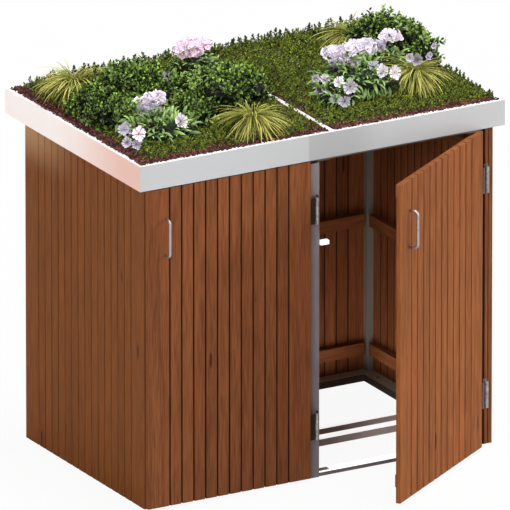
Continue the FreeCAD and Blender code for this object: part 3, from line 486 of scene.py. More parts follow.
@dataclass(frozen=True)
class Hinge(Finish):
    """Stained hinge steel with painted shade on its leaves and a painted highlight round the pins.

    The pins stand at two places along X.
    """

    colour: Colour
    pins: Pair

    def paint(self, maker: NodeMaker) -> Surface:
        """Draw the stains, painted shade on the leaves and painted highlights on the knuckles."""
        place = maker.place()
        x = place.parts()[0]
        brushed = scratches(place)
        stains = place.noise(90.0, 4.0).ramp(0.35, 0.65)
        # light is painted light: dark leaves, darkest at the middle post, and a highlight round each pin.
        near = maker.math("MINIMUM", *(maker.math("ABSOLUTE", x - pin) for pin in self.pins))
        leaves = x.ramp(0.2, 0.4, 0.10, 0.42)
        light = maker.math("MAXIMUM", leaves, near.ramp(0.0055, 0.0075, 1.0, 0.0))
        colour = stains.mix(self.colour, scaled(self.colour, 0.62)) * light
        return Surface(colour, 0.32 + brushed * 0.16, 0.6, brushed.bump(0.00008), sheen=0.2)


@dataclass(frozen=True)
class Dull(Finish):
    """Dull plastic or felt, which may carry a painted glow."""

    dark: Colour
    light: Colour
    painted_glow: float = 0.0

    def paint(self, maker: NodeMaker) -> Surface:
        """Draw a fine grain with soft clouds."""
        place = maker.place()
        grain = place.noise(500.0, 3.0)
        colour = (grain * 0.5 + place.noise(12.0) * 0.5).mix(self.dark, self.light)
        # The emission is a painted glow.
        return Surface(colour, 0.7 + grain * 0.15, normal=grain.bump(0.0003), light=colour * self.painted_glow)


@dataclass(frozen=True)
class Growth(Finish):
    """Leaves, blades and petals, coloured by each one's own tone and from foot to tip.

    glow is the light that passes through and lit a painted glow that is given off. vary and patchy are
    how far single ones and whole patches differ, start is where the tip's colour begins to show, and
    shade is the share of colour left near the carpet, a painted shade.
    """

    foot: Colour
    tip: Colour
    odd: Colour
    odd_share: float
    roughness: float = 0.5
    glow: float = 0.15
    painted_light: float = 0.0
    vary: float = 0.6
    patchy: float = 0.0
    start: float = 0.2
    shade: float = 1.0

    def paint(self, maker: NodeMaker) -> Surface:
        """Draw the run of colour from foot to tip, with odd ones, patches and fine spots."""
        place = maker.place()
        tone = maker.attribute("tone")
        spots = place.noise(380.0)
        along = maker.attribute("along") + spots * 0.3
        colour = along.ramp(self.start, 1.15).mix(self.foot, self.tip)
        # Painted shade: the planting is darker near the carpet.
        colour = colour * place.parts()[2].ramp(*SHADED, self.shade, 1.0)
        for share, pattern in ((self.vary, tone), (self.patchy, place.noise(11.0))):
            colour = colour * (1.0 - share / 2 + pattern * share)
        odd = maker.math("GREATER_THAN", (tone * 57.0).random(), 1.0 - self.odd_share)
        colour = (odd * 0.75).mix(colour, self.odd)
        # lit sets a painted glow.
        return Surface(colour, self.roughness + spots * 0.15, normal=spots.bump(0.0002, 0.4),
                       glow=self.glow, sheen=0.25, light=colour * self.painted_light)


@dataclass(frozen=True)
class Ground(Finish):
    """Low green growth or loose stones in patches of several colours, with fine grains in relief."""

    base: Colour
    patch: Colour
    fleck: Colour
    grain: float = 180.0
    relief: float = 0.003

    def paint(self, maker: NodeMaker) -> Surface:
        """Draw patches, flecks and a deep relief."""
        place = maker.place()
        grain = place.noise(self.grain, 4.0, 0.65)
        flecks = place.noise(self.grain * 0.6, 1.0).ramp(0.6, 0.68)
        colour = place.noise(14.0, 3.0).ramp(0.4, 0.62).mix(self.base, self.patch)
        colour = (flecks * 0.7).mix(colour, self.fleck)
        colour = colour * (0.35 + grain.ramp(0.35, 0.7) * 1.1)
        height = grain * 0.6 + place.cells(self.grain) * 0.4
        return Surface(colour, 0.85, normal=height.bump(self.relief, 0.8))


SIDE_BOARDS = Boards(Axis.Y, Axis.Z, FRONT, wide=0.089, slats=14)
BACK_BOARDS = Boards(Axis.X, Axis.Z, -0.664, wide=0.084, slats=25)
LEFT_DOOR_BOARDS = Boards(Axis.X, Axis.Z, -0.680)
RIGHT_DOOR_BOARDS = Boards(Axis.X, Axis.Z, -0.65525, turn=DOOR_TURN)
LEVEL_X = Boards(Axis.Z, Axis.X, 0.0, 0.3, 0.3, 0)
LEVEL_Y = Boards(Axis.Z, Axis.Y, 0.0, 0.3, 0.3, 0)
LEVEL_OPEN = Boards(Axis.Z, Axis.X, 0.0, 0.3, 0.3, 0, DOOR_TURN)
# The jambs' one groove paints a dark band beside the open door's edge, a painted shadow gap.
JAMB_SHADOW_GAP = Boards(Axis.X, Axis.Z, 0.6465, -0.0025, 1.0, 1)

WOOD = (linear(107, 61, 34), linear(144, 86, 51))
WALL_WOOD = (linear(103, 56, 24), linear(139, 82, 37))
# The open door's boards and battens are the same timber painted lighter and more orange, painted sunlight.
PAINTED_SUNLIT_WOOD = (linear(119, 67, 32), linear(160, 95, 50))
# Painted light for upward steel faces: a near-white top colour and the painted glow they give off.
PAINTED_LIT_TOP = (0.93, 0.93, 0.93)
PAINTED_TOP_GLOW = (0.80, 0.80, 0.80)
BRIGHT = Bright("bright_steel", linear(176, 176, 180))


def cad_nodes(*starts: str) -> tuple[str, ...]:
    """The CAD nodes whose names start with one of the given words."""
    return tuple(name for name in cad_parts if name.startswith(starts))


NODE_FINISHES: dict[Finish, tuple[str, ...]] = {
    Timber("left_wall", SIDE_BOARDS, *WALL_WOOD, 3.0, 0.5, 0.0019, 0.12, 0.22, 0.75): ("left_wall_boards",),
    Timber("right_wall", SIDE_BOARDS, *WOOD, 21.0): ("right_wall_boards",),
    Timber("back_wall", BACK_BOARDS, *WOOD, 47.0): ("back_wall_boards",),
    Timber("left_door", LEFT_DOOR_BOARDS, *WOOD, 80.0, foot=0.20): ("left_door_boards",),
    Timber("right_door", RIGHT_DOOR_BOARDS, *PAINTED_SUNLIT_WOOD, 120.0, 0.62, 0.0030, 0.24): ("right_door_boards",),
    Timber("jambs", JAMB_SHADOW_GAP, *WOOD, 7.0, 0.95, 0.0042): cad_nodes("jamb_strip"),
    Timber("side_battens", LEVEL_Y, *WOOD, 11.0): ("left_wall_battens", "right_wall_battens"),
    Timber("back_battens", LEVEL_X, *WOOD, 13.0): ("back_wall_battens", "left_door_battens"),
    Timber("open_battens", LEVEL_OPEN, *PAINTED_SUNLIT_WOOD, 17.0): ("right_door_battens",),
    # Each top colour is painted light or shade on upward faces, the glows are painted, and low is painted
    # shade at the foot.
    Coated("frame_steel", linear(136, 130, 118), linear(112, 106, 94)): cad_nodes(
        "post_back", "post_front", "post_mid_back", "top_rail", "roof_bearers", "corner_brackets"),
    Coated("rail_steel", linear(96, 88, 78), linear(168, 158, 144)): cad_nodes("base_rail"),
    Coated("sill_steel", linear(112, 100, 102), PAINTED_LIT_TOP, PAINTED_TOP_GLOW): ("door_thresholds",),
    Coated("bar_steel", linear(206, 188, 184), PAINTED_LIT_TOP, PAINTED_TOP_GLOW): cad_nodes("floor_crossbars"),
    Coated("post_steel", linear(150, 138, 138), linear(150, 138, 136), low=0.72): (
        "post_mid_front", "catch_brackets"),
    # The fascia's side and top colours are painted light on those faces.
    Sheet("fascia_sheet", linear(198, 199, 200), linear(250, 240, 235), (0.95, 0.95, 0.95)): (
        "roof_fascia", "tray_divider"),
    Coated("tray_sheet", linear(214, 214, 214), PAINTED_LIT_TOP, (0.2, 0.2, 0.2)): cad_nodes("planting_tray"),
    Hinge("hinge_steel", linear(176, 168, 164), (-0.02475, HINGE_AXIS[0])): cad_nodes(
        "fixed_hinge", "hinge_", "left_door_hinge", "right_door_hinge"),
    BRIGHT: cad_nodes(
        "left_door_fasteners", "left_door_strike", "right_door_fasteners", "right_door_strike"),
    Dull("dark_plastic", linear(26, 26, 28), linear(52, 52, 54)): ("drain_spouts", "drainage_boards"),
    Dull("fleece", linear(120, 118, 110), linear(168, 165, 156)): ("filter_fleeces",),
    # The white catch gives off a painted glow.
    Dull("catch_white", linear(240, 240, 240), linear(252, 252, 252), 0.75): ("catch_magnets",),
}

MOSS = Ground("moss", linear(48, 60, 14), linear(66, 76, 22), linear(84, 54, 30))
LAVA = Ground("lava", linear(62, 30, 28), linear(42, 22, 21), linear(110, 64, 58), 120.0, 0.004)
# The dark cores under the leaves of bushes and flower clumps are painted shade.
PAINTED_SHADE_CORE = Ground("bush_core", linear(14, 22, 8), linear(22, 32, 12), linear(34, 42, 18), 260.0)


def growth(name: str, foot: Colour, tip: Colour, odd: Colour, share: float, *more: float,
           **named: float) -> Growth:
    """A growth whose colours are given as seen on screen."""
    return Growth(name, linear(*foot), linear(*tip), linear(*odd), share, *more, **named)


STONES = growth("lava_stones", (70, 35, 33), (146, 90, 84), (32, 18, 18), 0.42, 0.9, 0.0)
SPRIGS = growth("sedum_sprigs", (34, 46, 10), (160, 176, 62), (124, 82, 42), 0.03, vary=0.42, patchy=0.5)
TALL_SPRIGS = growth("tall_sprigs", (26, 38, 12), (92, 112, 50), (70, 84, 36), 0.2)
# The box leaves' near-black foot is painted shade inside the bush, their bright tip a painted highlight.
BOX_LEAVES = growth("box_leaves", (8, 20, 5), (154, 192, 80), (180, 206, 122), 0.12, 0.45, 0.03,
                    vary=0.85, patchy=1.4, start=0.44, shade=0.80)
LANCE_LEAVES = growth("lance_leaves", (42, 70, 30), (162, 196, 116), (156, 172, 92), 0.12, vary=0.8)
GRASS = growth("golden_grass", (122, 127, 32), (224, 216, 116), (112, 108, 44), 0.3)
# The petals' last number is a painted glow.
WHITE_PETALS = growth("white_petals", (200, 180, 204), (255, 252, 255), (236, 222, 234), 0.25,
                      0.6, 0.05, 0.15)
FADED_PETALS = growth("faded_petals", (150, 134, 156), (228, 218, 232), (178, 174, 192), 0.3,
                      0.6, 0.05, 0.03)
PINK_PETALS = growth("pink_petals", (222, 174, 206), (255, 246, 252), (246, 216, 236), 0.35,
                     0.6, 0.05, 0.16)


def add_object(name: str, data: bpy.types.ID) -> bpy.types.Object:
    """Put a mesh, a light or a camera into the scene at the origin."""
    made = bpy.data.objects.new(name, data)
    bpy.context.scene.collection.objects.link(made)
    return made


def add_piece(name: str, mesh: Mesh, nodes: Sequence[str] = (),
              finish: Finish | None = None, body: str = "store") -> None:
    """Add a piece in its place.

    Args:
        name: The piece's name.
        mesh: Its shape.
        nodes: The CAD nodes that it stands for.
        finish: Its finish, if the mesh has none yet.
        body: The body that it rides on.
    """
    made = add_object(name, mesh)
    if finish is not None:
        mesh.materials.append(finish.material())
    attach(made, body)
    if nodes:
        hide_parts(*nodes)
    log.info("%s: %d faces", name, len(mesh.polygons))


def mesh_from(name: str, points: Iterable[Triple], faces: Iterable[Sequence[int]],
              along: Sequence[float] | None = None) -> Mesh:
    """A mesh from points and faces, with an optional number from foot to tip at each point."""
    mesh = bpy.data.meshes.new(name)
    mesh.from_pydata([tuple(point) for point in points], [], [tuple(face) for face in faces])
    if along is not None:
        kept = mesh.attributes.new("along", "FLOAT", "POINT")
        kept.data.foreach_set("value", list(along))
    mesh.update()
    return mesh


def mesh_of(name: str, shape: bmesh.types.BMesh) -> Mesh:
    """A mesh from an edited shape, which is freed."""
    mesh = bpy.data.meshes.new(name)
    shape.to_mesh(mesh)
    shape.free()
    return mesh


def rectangles(name: str, rows: Iterable[tuple[float, float, float, float, float]]) -> Mesh:
    """Level rectangles, each from its lowest and its highest x and y, and its z."""
    points = [point for x0, y0, x1, y1, z in rows
              for point in ((x0, y0, z), (x1, y0, z), (x1, y1, z), (x0, y1, z))]
    return mesh_from(name, points, [range(first, first + 4) for first in range(0, len(points), 4)])


class Spread(Enum):
    """How a scatter places its copies."""

    SURFACE = "over the host's faces"
    DROOP = "over the host's faces, bending down"
    POINTS = "on the host's points"


@dataclass(frozen=True)
class Scatter:
    """Many small copies of one shape on a host mesh.

    Args:
        name: Name of the piece.
        spread: How the copies are placed.
        gap: Smallest distance between two copies.
        scale: Smallest and largest scale.
        tilt: Largest random tilt in radians.
        seed: Seed of all that is random.
        spin: Largest random turn about a copy's own axis.
        turn: Rotation of all copies before the random part.
    """

    name: str
    spread: Spread
    gap: float
    scale: Pair
    tilt: float
    seed: int
    spin: float = math.pi
    turn: Triple = (0.0, 0.0, 0.0)

    def tree(self, shape: bpy.types.Object, finish: Finish) -> bpy.types.NodeTree:
        """The node group that sets the copies on the host and makes them one mesh."""
        group = bpy.data.node_groups.new(self.name, "GeometryNodeTree")
        for way in ("INPUT", "OUTPUT"):
            group.interface.new_socket("Geometry", in_out=way, socket_type="NodeSocketGeometry")
        node = NodeMaker(group).node
        points = node("NodeGroupInput")
        rotation = node("FunctionNodeEulerToRotation", None, {0: self.turn})
        if self.spread is not Spread.POINTS:
            points = node("GeometryNodeDistributePointsOnFaces", {"distribute_method": "POISSON"}, {
                "Mesh": points, "Distance Min": self.gap, "Density Max": DENSEST, "Seed": self.seed})
            rotation = node("FunctionNodeAlignRotationToVector", {"axis": "Z"}, {
                "Rotation": rotation, "Vector": points.other("Normal")})
        if self.spread is Spread.DROOP:
            rotation = node("FunctionNodeAlignRotationToVector", {"axis": "X", "pivot_axis": "Z"}, {
                "Rotation": rotation, "Vector": (0.0, 0.0, -1.0)})
        most = (self.tilt, self.tilt, self.spin)
        lean = node("FunctionNodeRandomValue", {"data_type": "FLOAT_VECTOR"}, {
            0: scaled(most, -1.0), 1: most, "Seed": self.seed + 1})
        lean = node("FunctionNodeEulerToRotation", None, {0: lean})
        rotation = node("FunctionNodeRotateRotation", {"rotation_space": "LOCAL"}, {0: rotation, 1: lean})
        size, tone = (
            node("FunctionNodeRandomValue", {"data_type": "FLOAT"}, {
                2: low, 3: high, "Seed": self.seed + offset}, 1)
            for low, high, offset in ((*self.scale, 2), (0.0, 1.0, 3)))
        single = node("GeometryNodeObjectInfo", None, {0: shape}, "Geometry")
        copies = node("GeometryNodeInstanceOnPoints", None, {
            "Points": points, "Instance": single, "Rotation": rotation, "Scale": size})
        copies = node("GeometryNodeStoreNamedAttribute", {"data_type": "FLOAT", "domain": "INSTANCE"}, {
            "Geometry": copies, "Name": "tone", "Value": tone})
        copies = node("GeometryNodeRealizeInstances", None, {0: copies})
        copies = node("GeometryNodeSetMaterial", None, {"Geometry": copies, "Material": finish.material()})
        node("NodeGroupOutput", None, {0: copies})
        return group

    def grow(self, host: Mesh, shape: Mesh, finish: Finish) -> Mesh:
        """Scatter a shape on a host mesh.

        Args:
            host: The mesh to grow on.
            shape: The mesh of one copy, with its foot at the origin.
            finish: Finish of the copies.

        Returns:
            All copies as one mesh.
        """
        carrier = add_object(f"{self.name}_host", host)
        single = add_object(f"{self.name}_single", shape)
        carrier.modifiers.new("scatter", "NODES").node_group = self.tree(single, finish)
        bpy.context.view_layer.update()
        graph = bpy.context.evaluated_depsgraph_get()
        mesh = bpy.data.meshes.new_from_object(carrier.evaluated_get(graph), depsgraph=graph)
        carrier.modifiers.clear()
        for item in (carrier, single):
            bpy.data.objects.remove(item)
        mesh.name = self.name
        return mesh

    def piece(self, host: Mesh, shape: Mesh, finish: Finish,
              nodes: Sequence[str] = ()) -> None:
        """Add the copies that grow on a host as a piece, with the nodes that it stands for."""
        add_piece(self.name, self.grow(host, shape, finish), nodes)


def plan(x: float, back: float, z: float) -> Triple:
    """A place given in millimetres, with its depth counted from the front of the walls."""
    return (x / 1000.0, FRONT + back / 1000.0, z / 1000.0)


@dataclass(frozen=True)
class Clump:
    """A lumpy mound, the body of one plant or flower head, in millimetres.

    x counts from the store's middle, back from the front of the walls and rise from the carpet.
    """

    x: float
    back: float
    rise: float
    half_width: float
    half_depth: float
    height: float

    def mound(self, seed: int, lumps: float, lowest: float) -> Mesh:
        """The mound's mesh, with the arguments that mounds() gives it."""
        foot = plan(self.x, self.back, CARPET + self.rise)
        half, deep, height = (part / 1000.0 for part in (self.half_width, self.half_depth, self.height))
        shape = bmesh.new()
        bmesh.ops.create_icosphere(shape, subdivisions=3, radius=1.0)
        low = [face for face in shape.faces if face.calc_center_median().z < lowest]
        bmesh.ops.delete(shape, geom=low, context="FACES")
        offset = Vector((seed * 7.1, seed * 3.7, seed * 1.9))
        for vertex in shape.verts:
            way = vertex.co.normalized()
            size = 1.0 + lumps * noise.noise(way * 1.9 + offset)
            size += lumps * 0.5 * noise.noise(way * 5.0 + offset)
            spread = size * min(1.0, 0.80 + 0.35 * max(0.0, way.z + 0.5))
            z = height * (0.40 + 0.60 * way.z * size)
            vertex.co = (foot[0] + half * way.x * spread, foot[1] + deep * way.y * spread,
                         foot[2] + max(z, -0.004))
        return mesh_of("mound", shape)


def clumps(*rows: tuple[float, ...]) -> tuple[Clump, ...]:
    """Clumps from rows of their numbers."""
    return tuple(Clump(*row) for row in rows)


def mounds(bodies: Sequence[Clump], seed: int, lumps: float, lowest: float = -2.0) -> Mesh:
    """The mounds of several clumps as one mesh.

    Args:
        bodies: The clumps.
        seed: Seed of the first clump's lumps, one more for each that follows.
        lumps: Size of the lumps as a share of a mound.
        lowest: Faces whose middle lies lower on the round form than this are left out.

    Returns:
        The mesh.
    """
    shape = bmesh.new()
    for index, body in enumerate(bodies):
        mesh = body.mound(index + seed, lumps, lowest)
        shape.from_mesh(mesh)
        bpy.data.meshes.remove(mesh)
    return mesh_of("mounds", shape)


def leaf(length: float, width: float, bend: float, fold: float, segments: int, curve: float = 0.8,
         start: float = 0.0) -> Mesh:
    """A folded leaf that rises from the origin along Z and bends towards X.

    Args:
        length: Length along the leaf.
        width: Largest width.
        bend: Angle in radians by which the leaf has turned at its tip.
        fold: How deep its middle lies, as a share of half the width.
        segments: Number of steps along the leaf.
        curve: Below 1 the leaf bends more near its foot, above 1 more near its tip.
        start: Angle in radians by which its foot already leans.

    Returns:
        The leaf's mesh.
    """
    points = []
    along = []
    x = z = 0.0
    for index in range(segments + 1):
        part = index / segments
        half = width / 2 * math.sin(math.pi * min(1.0, 0.14 + part * 0.86)) ** 0.7
        points += [(x, -half, z), (x - fold * half, 0.0, z), (x, half, z)]
        along += [part] * 3
        angle = start + (bend - start) * part ** curve
        x += length / segments * math.sin(angle)
        z += length / segments * math.cos(angle)
    faces = [(first, first + 1, first + 4, first + 3)
             for row in range(0, segments * 3, 3) for first in (row, row + 1)]
    return mesh_from("leaf", points, faces, along)


def shoot(pairs: int, length: float, size: Pair, taper: float = 0.35,
          close: float = 0.95) -> Mesh:
    """An upright shoot with opposite pairs of rounded, folded leaves.

    Args:
        pairs: Number of pairs of leaves.
        length: Length of the stem.
        size: Length and width of the largest leaf.
        taper: How much smaller the topmost leaves are, as a share.
        close: Angle in radians by which the topmost leaves stand steeper than the lowest.

    Returns:
        The shoot's mesh.
    """
    points: list[Vector] = []
    faces: list[tuple[int, ...]] = []
    along: list[float] = []
    outline = ((0.0, 0.0), (0.32, 0.5), (0.80, 0.42), (1.0, 0.0), (0.80, -0.42), (0.32, -0.5))
    chance = random.Random(pairs)
    for index in range(pairs * 2):
        level = (index // 2) / max(1, pairs - 1)
        turn = Matrix.Rotation(math.pi * (index % 2) + 1.75 * (index // 2), 3, "Z")
        lift = 0.25 + close * level
        scale = (1.0 - taper * level) * chance.uniform(0.8, 1.15)
        shade = chance.uniform(-0.30, 0.30)
        first = len(points)
        for part, side in outline:
            reach = part * size[0] * scale
            rise = abs(side) * size[1] * scale * 0.5
            spot = Vector((reach * math.cos(lift) - rise * math.sin(lift), side * size[1] * scale,
                           reach * math.sin(lift) + rise * math.cos(lift)))
            points.append(turn @ spot + Vector((0.0, 0.0, length * (0.15 + 0.85 * level))))
            # Lower leaves and each leaf's foot get a low along, painted shade inside the plant, and the
            # tips a high one, a painted highlight, plus a random tone for each leaf.
            along.append(0.32 * level + 0.70 * part + shade)
        faces += [(first, first + 3, first + 2, first + 1), (first, first + 5, first + 4, first + 3)]
    return mesh_from("shoot", points, faces, along)


def flower(petals: int, across: float, cup: float) -> Mesh:
    """An open flower of rounded petals, darker along their middles, facing up."""
    points: list[Triple] = []
    along: list[float] = []
    faces = []
    chance = random.Random(petals)
    for index in range(petals):
        radius = across / 2 * chance.uniform(0.82, 1.06)
        middle = 2 * math.pi * (index + chance.uniform(-0.16, 0.16)) / petals
        half = math.pi / petals * chance.uniform(0.86, 1.08)
        lift = radius * (0.07 * (index % 2) + chance.uniform(0.0, 0.12))
        first = len(points)
        for part, share in ((0.08, 0.5), (0.55, 0.86), (0.86, 0.92), (1.0, 0.45)):
            for side in (-1, 0, 1):
                angle = middle + side * half * share
                reach = radius * part * (1.0 if side or part < 1.0 else 0.95)
                height = cup * radius * part * part + lift + 0.04 * radius * abs(side)
                points.append((reach * math.cos(angle), reach * math.sin(angle), height))
                along.append(part * (1.0 if side else 0.68))
        faces += [(start, start + 3, start + 4, start + 1)
                  for row in range(first, first + 9, 3) for start in (row, row + 1)]
    return mesh_from("flower", points, faces, along)


def stone(seed: int) -> Mesh:
    """A small rough stone of 20 faces."""
    shape = bmesh.new()
    bmesh.ops.create_icosphere(shape, subdivisions=1, radius=1.0)
    chance = random.Random(seed)
    points = [vertex.co * chance.uniform(0.7, 1.15) for vertex in shape.verts]
    faces = [[vertex.index for vertex in face.verts] for face in shape.faces]
    shape.free()
    along = [chance.random() for _ in points]
    return mesh_from("stone", [(p.x * 1.2, p.y, p.z * 0.8) for p in points], faces, along)


@dataclass(frozen=True)
class BoxBushes:
    """The low evergreen bushes with their leafy shoots."""

    plants: tuple[Clump, ...] = clumps(
        (-572, 436, -2, 70, 146, 64), (-600, 586, -2, 40, 60, 22), (-480, 545, -2, 80, 90, 90),
        (-372, 600, -2, 80, 90, 86), (-280, 490, -2, 84, 84, 54), (-165, 395, -2, 116, 124, 86),
        (-60, 460, -2, 56, 80, 62), (568, 578, -2, 84, 84, 100), (612, 516, -2, 74, 92, 104),
        (630, 436, -2, 42, 62, 86), (-336, 300, -2, 64, 92, 46))

    def build(self) -> None:
        """Make the bushes' cores and their leafy shoots."""
        cores = mounds(self.plants, 3, 0.5)
        Scatter("box_bush_leaves", Spread.SURFACE, 0.0138, (0.55, 1.15), 0.7, 5).piece(
            cores.copy(), shoot(4, 0.042, (0.0240, 0.0140), 0.35, 0.62), BOX_LEAVES,
            ["box_bushes"])
        add_piece("box_bush_cores", cores, finish=PAINTED_SHADE_CORE)


@dataclass(frozen=True)
class FlowerClumps:
    """The flowering perennials: leafy plants, single flowers and dome-shaped heads of florets."""

    plants: tuple[Clump, ...] = clumps(
        (-500, 205, -2, 120, 88, 50), (-130, 640, -2, 70, 66, 84), (320, 300, -2, 140, 118, 76),
        (450, 330, -2, 100, 110, 76), (-520, 300, -2, 84, 80, 52), (190, 230, -2, 60, 80, 40))
    singles: tuple[Triple, ...] = (
        (-636, 114, 52), (-459, 140, 58), (369, 209, 79), (392, 173, 80), (194, 211, 70), (212, 158, 66))
    faded: tuple[Triple, ...] = (
        (-650, 196, 46), (-634, 206, 42), (-668, 134, 22), (-650, 108, 20), (490, 243, 98),
        (506, 217, 96), (365, 271, 76), (166, 319, 54), (174, 272, 60), (158, 166, 28), (176, 130, 26),
        (148, 246, 30), (-302, 520, 78))
    small: tuple[Triple, ...] = ((571, 242, 94), (560, 236, 88), (620, 300, 100), (628, 312, 94))
    clusters: tuple[Clump, ...] = clumps(
        (-444, 346, 68, 34, 25, 25), (-492, 336, 64, 30, 22, 22), (380, 374, 98, 50, 30, 34),
        (330, 380, 96, 34, 28, 32), (290, 415, 80, 32, 28, 36), (500, 387, 114, 34, 26, 30))
    dusky: tuple[Clump, ...] = clumps(
        (282, 350, 60, 32, 28, 36), (436, 377, 90, 34, 22, 26), (316, 318, 62, 26, 22, 24),
        (-494, 302, 44, 44, 28, 27))
    pink: tuple[Clump, ...] = clumps((-146, 642, 94, 40, 42, 50), (-92, 652, 102, 30, 28, 34))

    def build(self) -> None:
        """Make foliage, single flowers and flower clusters."""
        cores = mounds(self.plants, 13, 0.3)
        Scatter("flower_foliage", Spread.DROOP, 0.0098, (0.5, 1.3), 0.75, 15, 1.3).piece(
            cores.copy(), leaf(0.045, 0.0086, 1.8, 0.3, 5), LANCE_LEAVES, ["flower_clumps"])
        add_piece("flower_clump_cores", cores, finish=PAINTED_SHADE_CORE)
        for name, places, finish, scale in (
                ("white_flowers", self.singles, WHITE_PETALS, (0.80, 1.08)),
                ("faded_flowers", self.faded, FADED_PETALS, (0.62, 0.90)),
                ("small_flowers", self.small, FADED_PETALS, (0.32, 0.46))):
            spots = mesh_from("spots", [plan(x, back, CARPET + rise) for x, back, rise in places], [])
            Scatter(name, Spread.POINTS, 0.0, scale, 0.5, 23, turn=(0.75, -0.35, 0.0)).piece(
                spots, flower(11, 0.054, 0.3), finish)
        for name, heads, finish, seed in (
                ("white_clusters", self.clusters, WHITE_PETALS, 33),
                ("dusky_clusters", self.dusky, FADED_PETALS, 35),
                ("pink_cluster", self.pink, PINK_PETALS, 43)):
            Scatter(name, Spread.SURFACE, 0.0115, (0.55, 1.2), 0.8, seed).piece(
                mounds(heads, seed, 0.3, -0.2), flower(6, 0.028, 0.4), finish)


@dataclass(frozen=True)
class GrassTufts:
    """The golden grass tufts of thin arching blades that fall from raised crowns.

    Args:
        flat: Crowns whose blades lean outwards from the start.
        full: Crowns whose blades rise before they fall.
        lowest: Height at which a blade lies on the carpet.
    """

    flat: tuple[Clump, ...] = clumps(
        (-203, 100, 30, 22, 22, 22), (499, 220, 38, 22, 22, 22), (530, 716, 22, 22, 22, 22))
    full: tuple[Clump, ...] = clumps((-575, 671, 38, 22, 22, 22))
    lowest: float = 1.250

    def build(self) -> None:
        """Make the blades of both kinds of tuft."""
        self.blades("grass_blades", self.flat, 0.90, 51)
        self.blades("grass_blades_full", self.full, 0.52, 55)

    def blades(self, name: str, crowns: Sequence[Clump], lean: float, seed: int) -> None:
        """Grow blades from crowns, leaning by an angle in radians at their foot."""
        made = Scatter(name, Spread.DROOP, 0.0016, (0.45, 1.06), 0.24, seed, 0.4).grow(
            mounds(crowns, seed, 0.2, -0.1), leaf(0.146, 0.0037, 1.95, 0.5, 8, 1.1, lean), GRASS)
        for vertex in made.vertices:
            vertex.co.z = max(vertex.co.z, self.lowest)
        add_piece(name, made, ["grass_tufts"])


@dataclass(frozen=True)
class SedumMats:
    """The low green carpet in both trays, ragged where it meets the gravel.

    step is the size of its faces. It rises by rise within run of the back, and its edge slopes over
    slope, down to sink under the CAD mat. margins are the widths of gravel at the left, front, right
    and back of each tray.
    """

    step: float = 0.009
    rise: float = 0.015
    run: float = 0.22
    slope: float = 0.012
    bumps: float = 0.0035
    sink: float = 0.003
    margins: tuple[tuple[float, ...], ...] = ((0.019, 0.004, 0.014, -0.006), (0.0, 0.004, -0.006, -0.006))

    def edge(self, ways: Sequence[float], margins: Sequence[float], x: float, y: float) -> float:
        """How far the carpet has risen at a point.

        Args:
            ways: From the left, front, right and back of the CAD mat to the point.
            margins: How much of each way is gravel.
            x: The point's x.
            y: The point's y.

        Returns:
            0 in the gravel to 1 inside.
        """
        ragged = 0.012 * noise.noise(Vector((x * 31.0, y * 31.0, 3.0)))
        ragged += 0.013 * noise.noise(Vector((x * 9.0, y * 9.0, 5.0)))
        inside = min(way - margin for way, margin in zip(ways, margins))
        return min(1.0, max(0.0, (inside + ragged) / self.slope))

    def carpet(self, node: str, index: int) -> Mesh:
        """The carpet's uneven top, which falls to the gravel at its edges.

        Args:
            node: The CAD mat.
            index: 0 for the left tray and 1 for the right one.

        Returns:
            The carpet's mesh.
        """
        low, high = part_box(node)
        across = round((high.x - low.x) / self.step)
        deep = round((high.y - low.y) / self.step)
        points = []
        for row in range(deep + 1):
            for column in range(across + 1):
                x = low.x + (high.x - low.x) * column / across
                y = low.y + (high.y - low.y) * row / deep
                ways = (x - low.x, y - low.y, high.x - x, high.y - y)
                edge = self.edge(ways, self.margins[index], x, y)
                place = Vector((x * 16.0, y * 16.0, 61 + index))
                lift = self.bumps * noise.noise(place) + self.bumps * noise.noise(place * 4.0)
                lift += self.rise * max(0.0, 1.0 - (high.y - y) / self.run) ** 2
                z = low.z - self.sink + (high.z - low.z - 0.004 + lift) * edge * (2.0 - edge)
                points.append((x, y, z))
        faces = []
        for row in range(deep):
            for column in range(across):
                start = row * (across + 1) + column
                corners = (start, start + 1, start + across + 2, start + across + 1)
                if any(points[corner][2] > low.z - 0.002 for corner in corners):
                    faces.append(corners)
        return mesh_from(f"carpet_{node}", points, faces)

    def borders(self) -> Mesh:
        """The strips at the back and on the right where taller sprigs stand."""
        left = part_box("sedum_mat_left")
        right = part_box("sedum_mat_right")
        z = left[0].z + 0.008
        return rectangles("borders", (
            (left[0].x + 0.03, left[1].y - 0.03, left[1].x, left[1].y - 0.002, z + self.rise),
            (right[0].x, right[1].y - 0.03, right[1].x - 0.02, right[1].y - 0.002, z + self.rise),
            (right[1].x - 0.018, right[0].y - 0.028, right[1].x, right[1].y - 0.03, z)))

    def build(self) -> None:
        """Make each carpet and its sprigs."""
        for index, side in enumerate(SIDES):
            node = f"sedum_mat_{side}"
            carpet = self.carpet(node, index)
            Scatter(f"sedum_sprigs_{side}", Spread.SURFACE, 0.0102, (0.5, 1.5), 0.45, 63 + index).piece(
                carpet.copy(), shoot(4, 0.0125, (0.0088, 0.0058)), SPRIGS)
            add_piece(f"sedum_carpet_{side}", carpet, [node], MOSS)
        Scatter("sedum_tall_sprigs", Spread.SURFACE, 0.018, (0.45, 1.2), 0.25, 69).piece(
            self.borders(), shoot(5, 0.024, (0.0125, 0.0110), 0.4), TALL_SPRIGS)


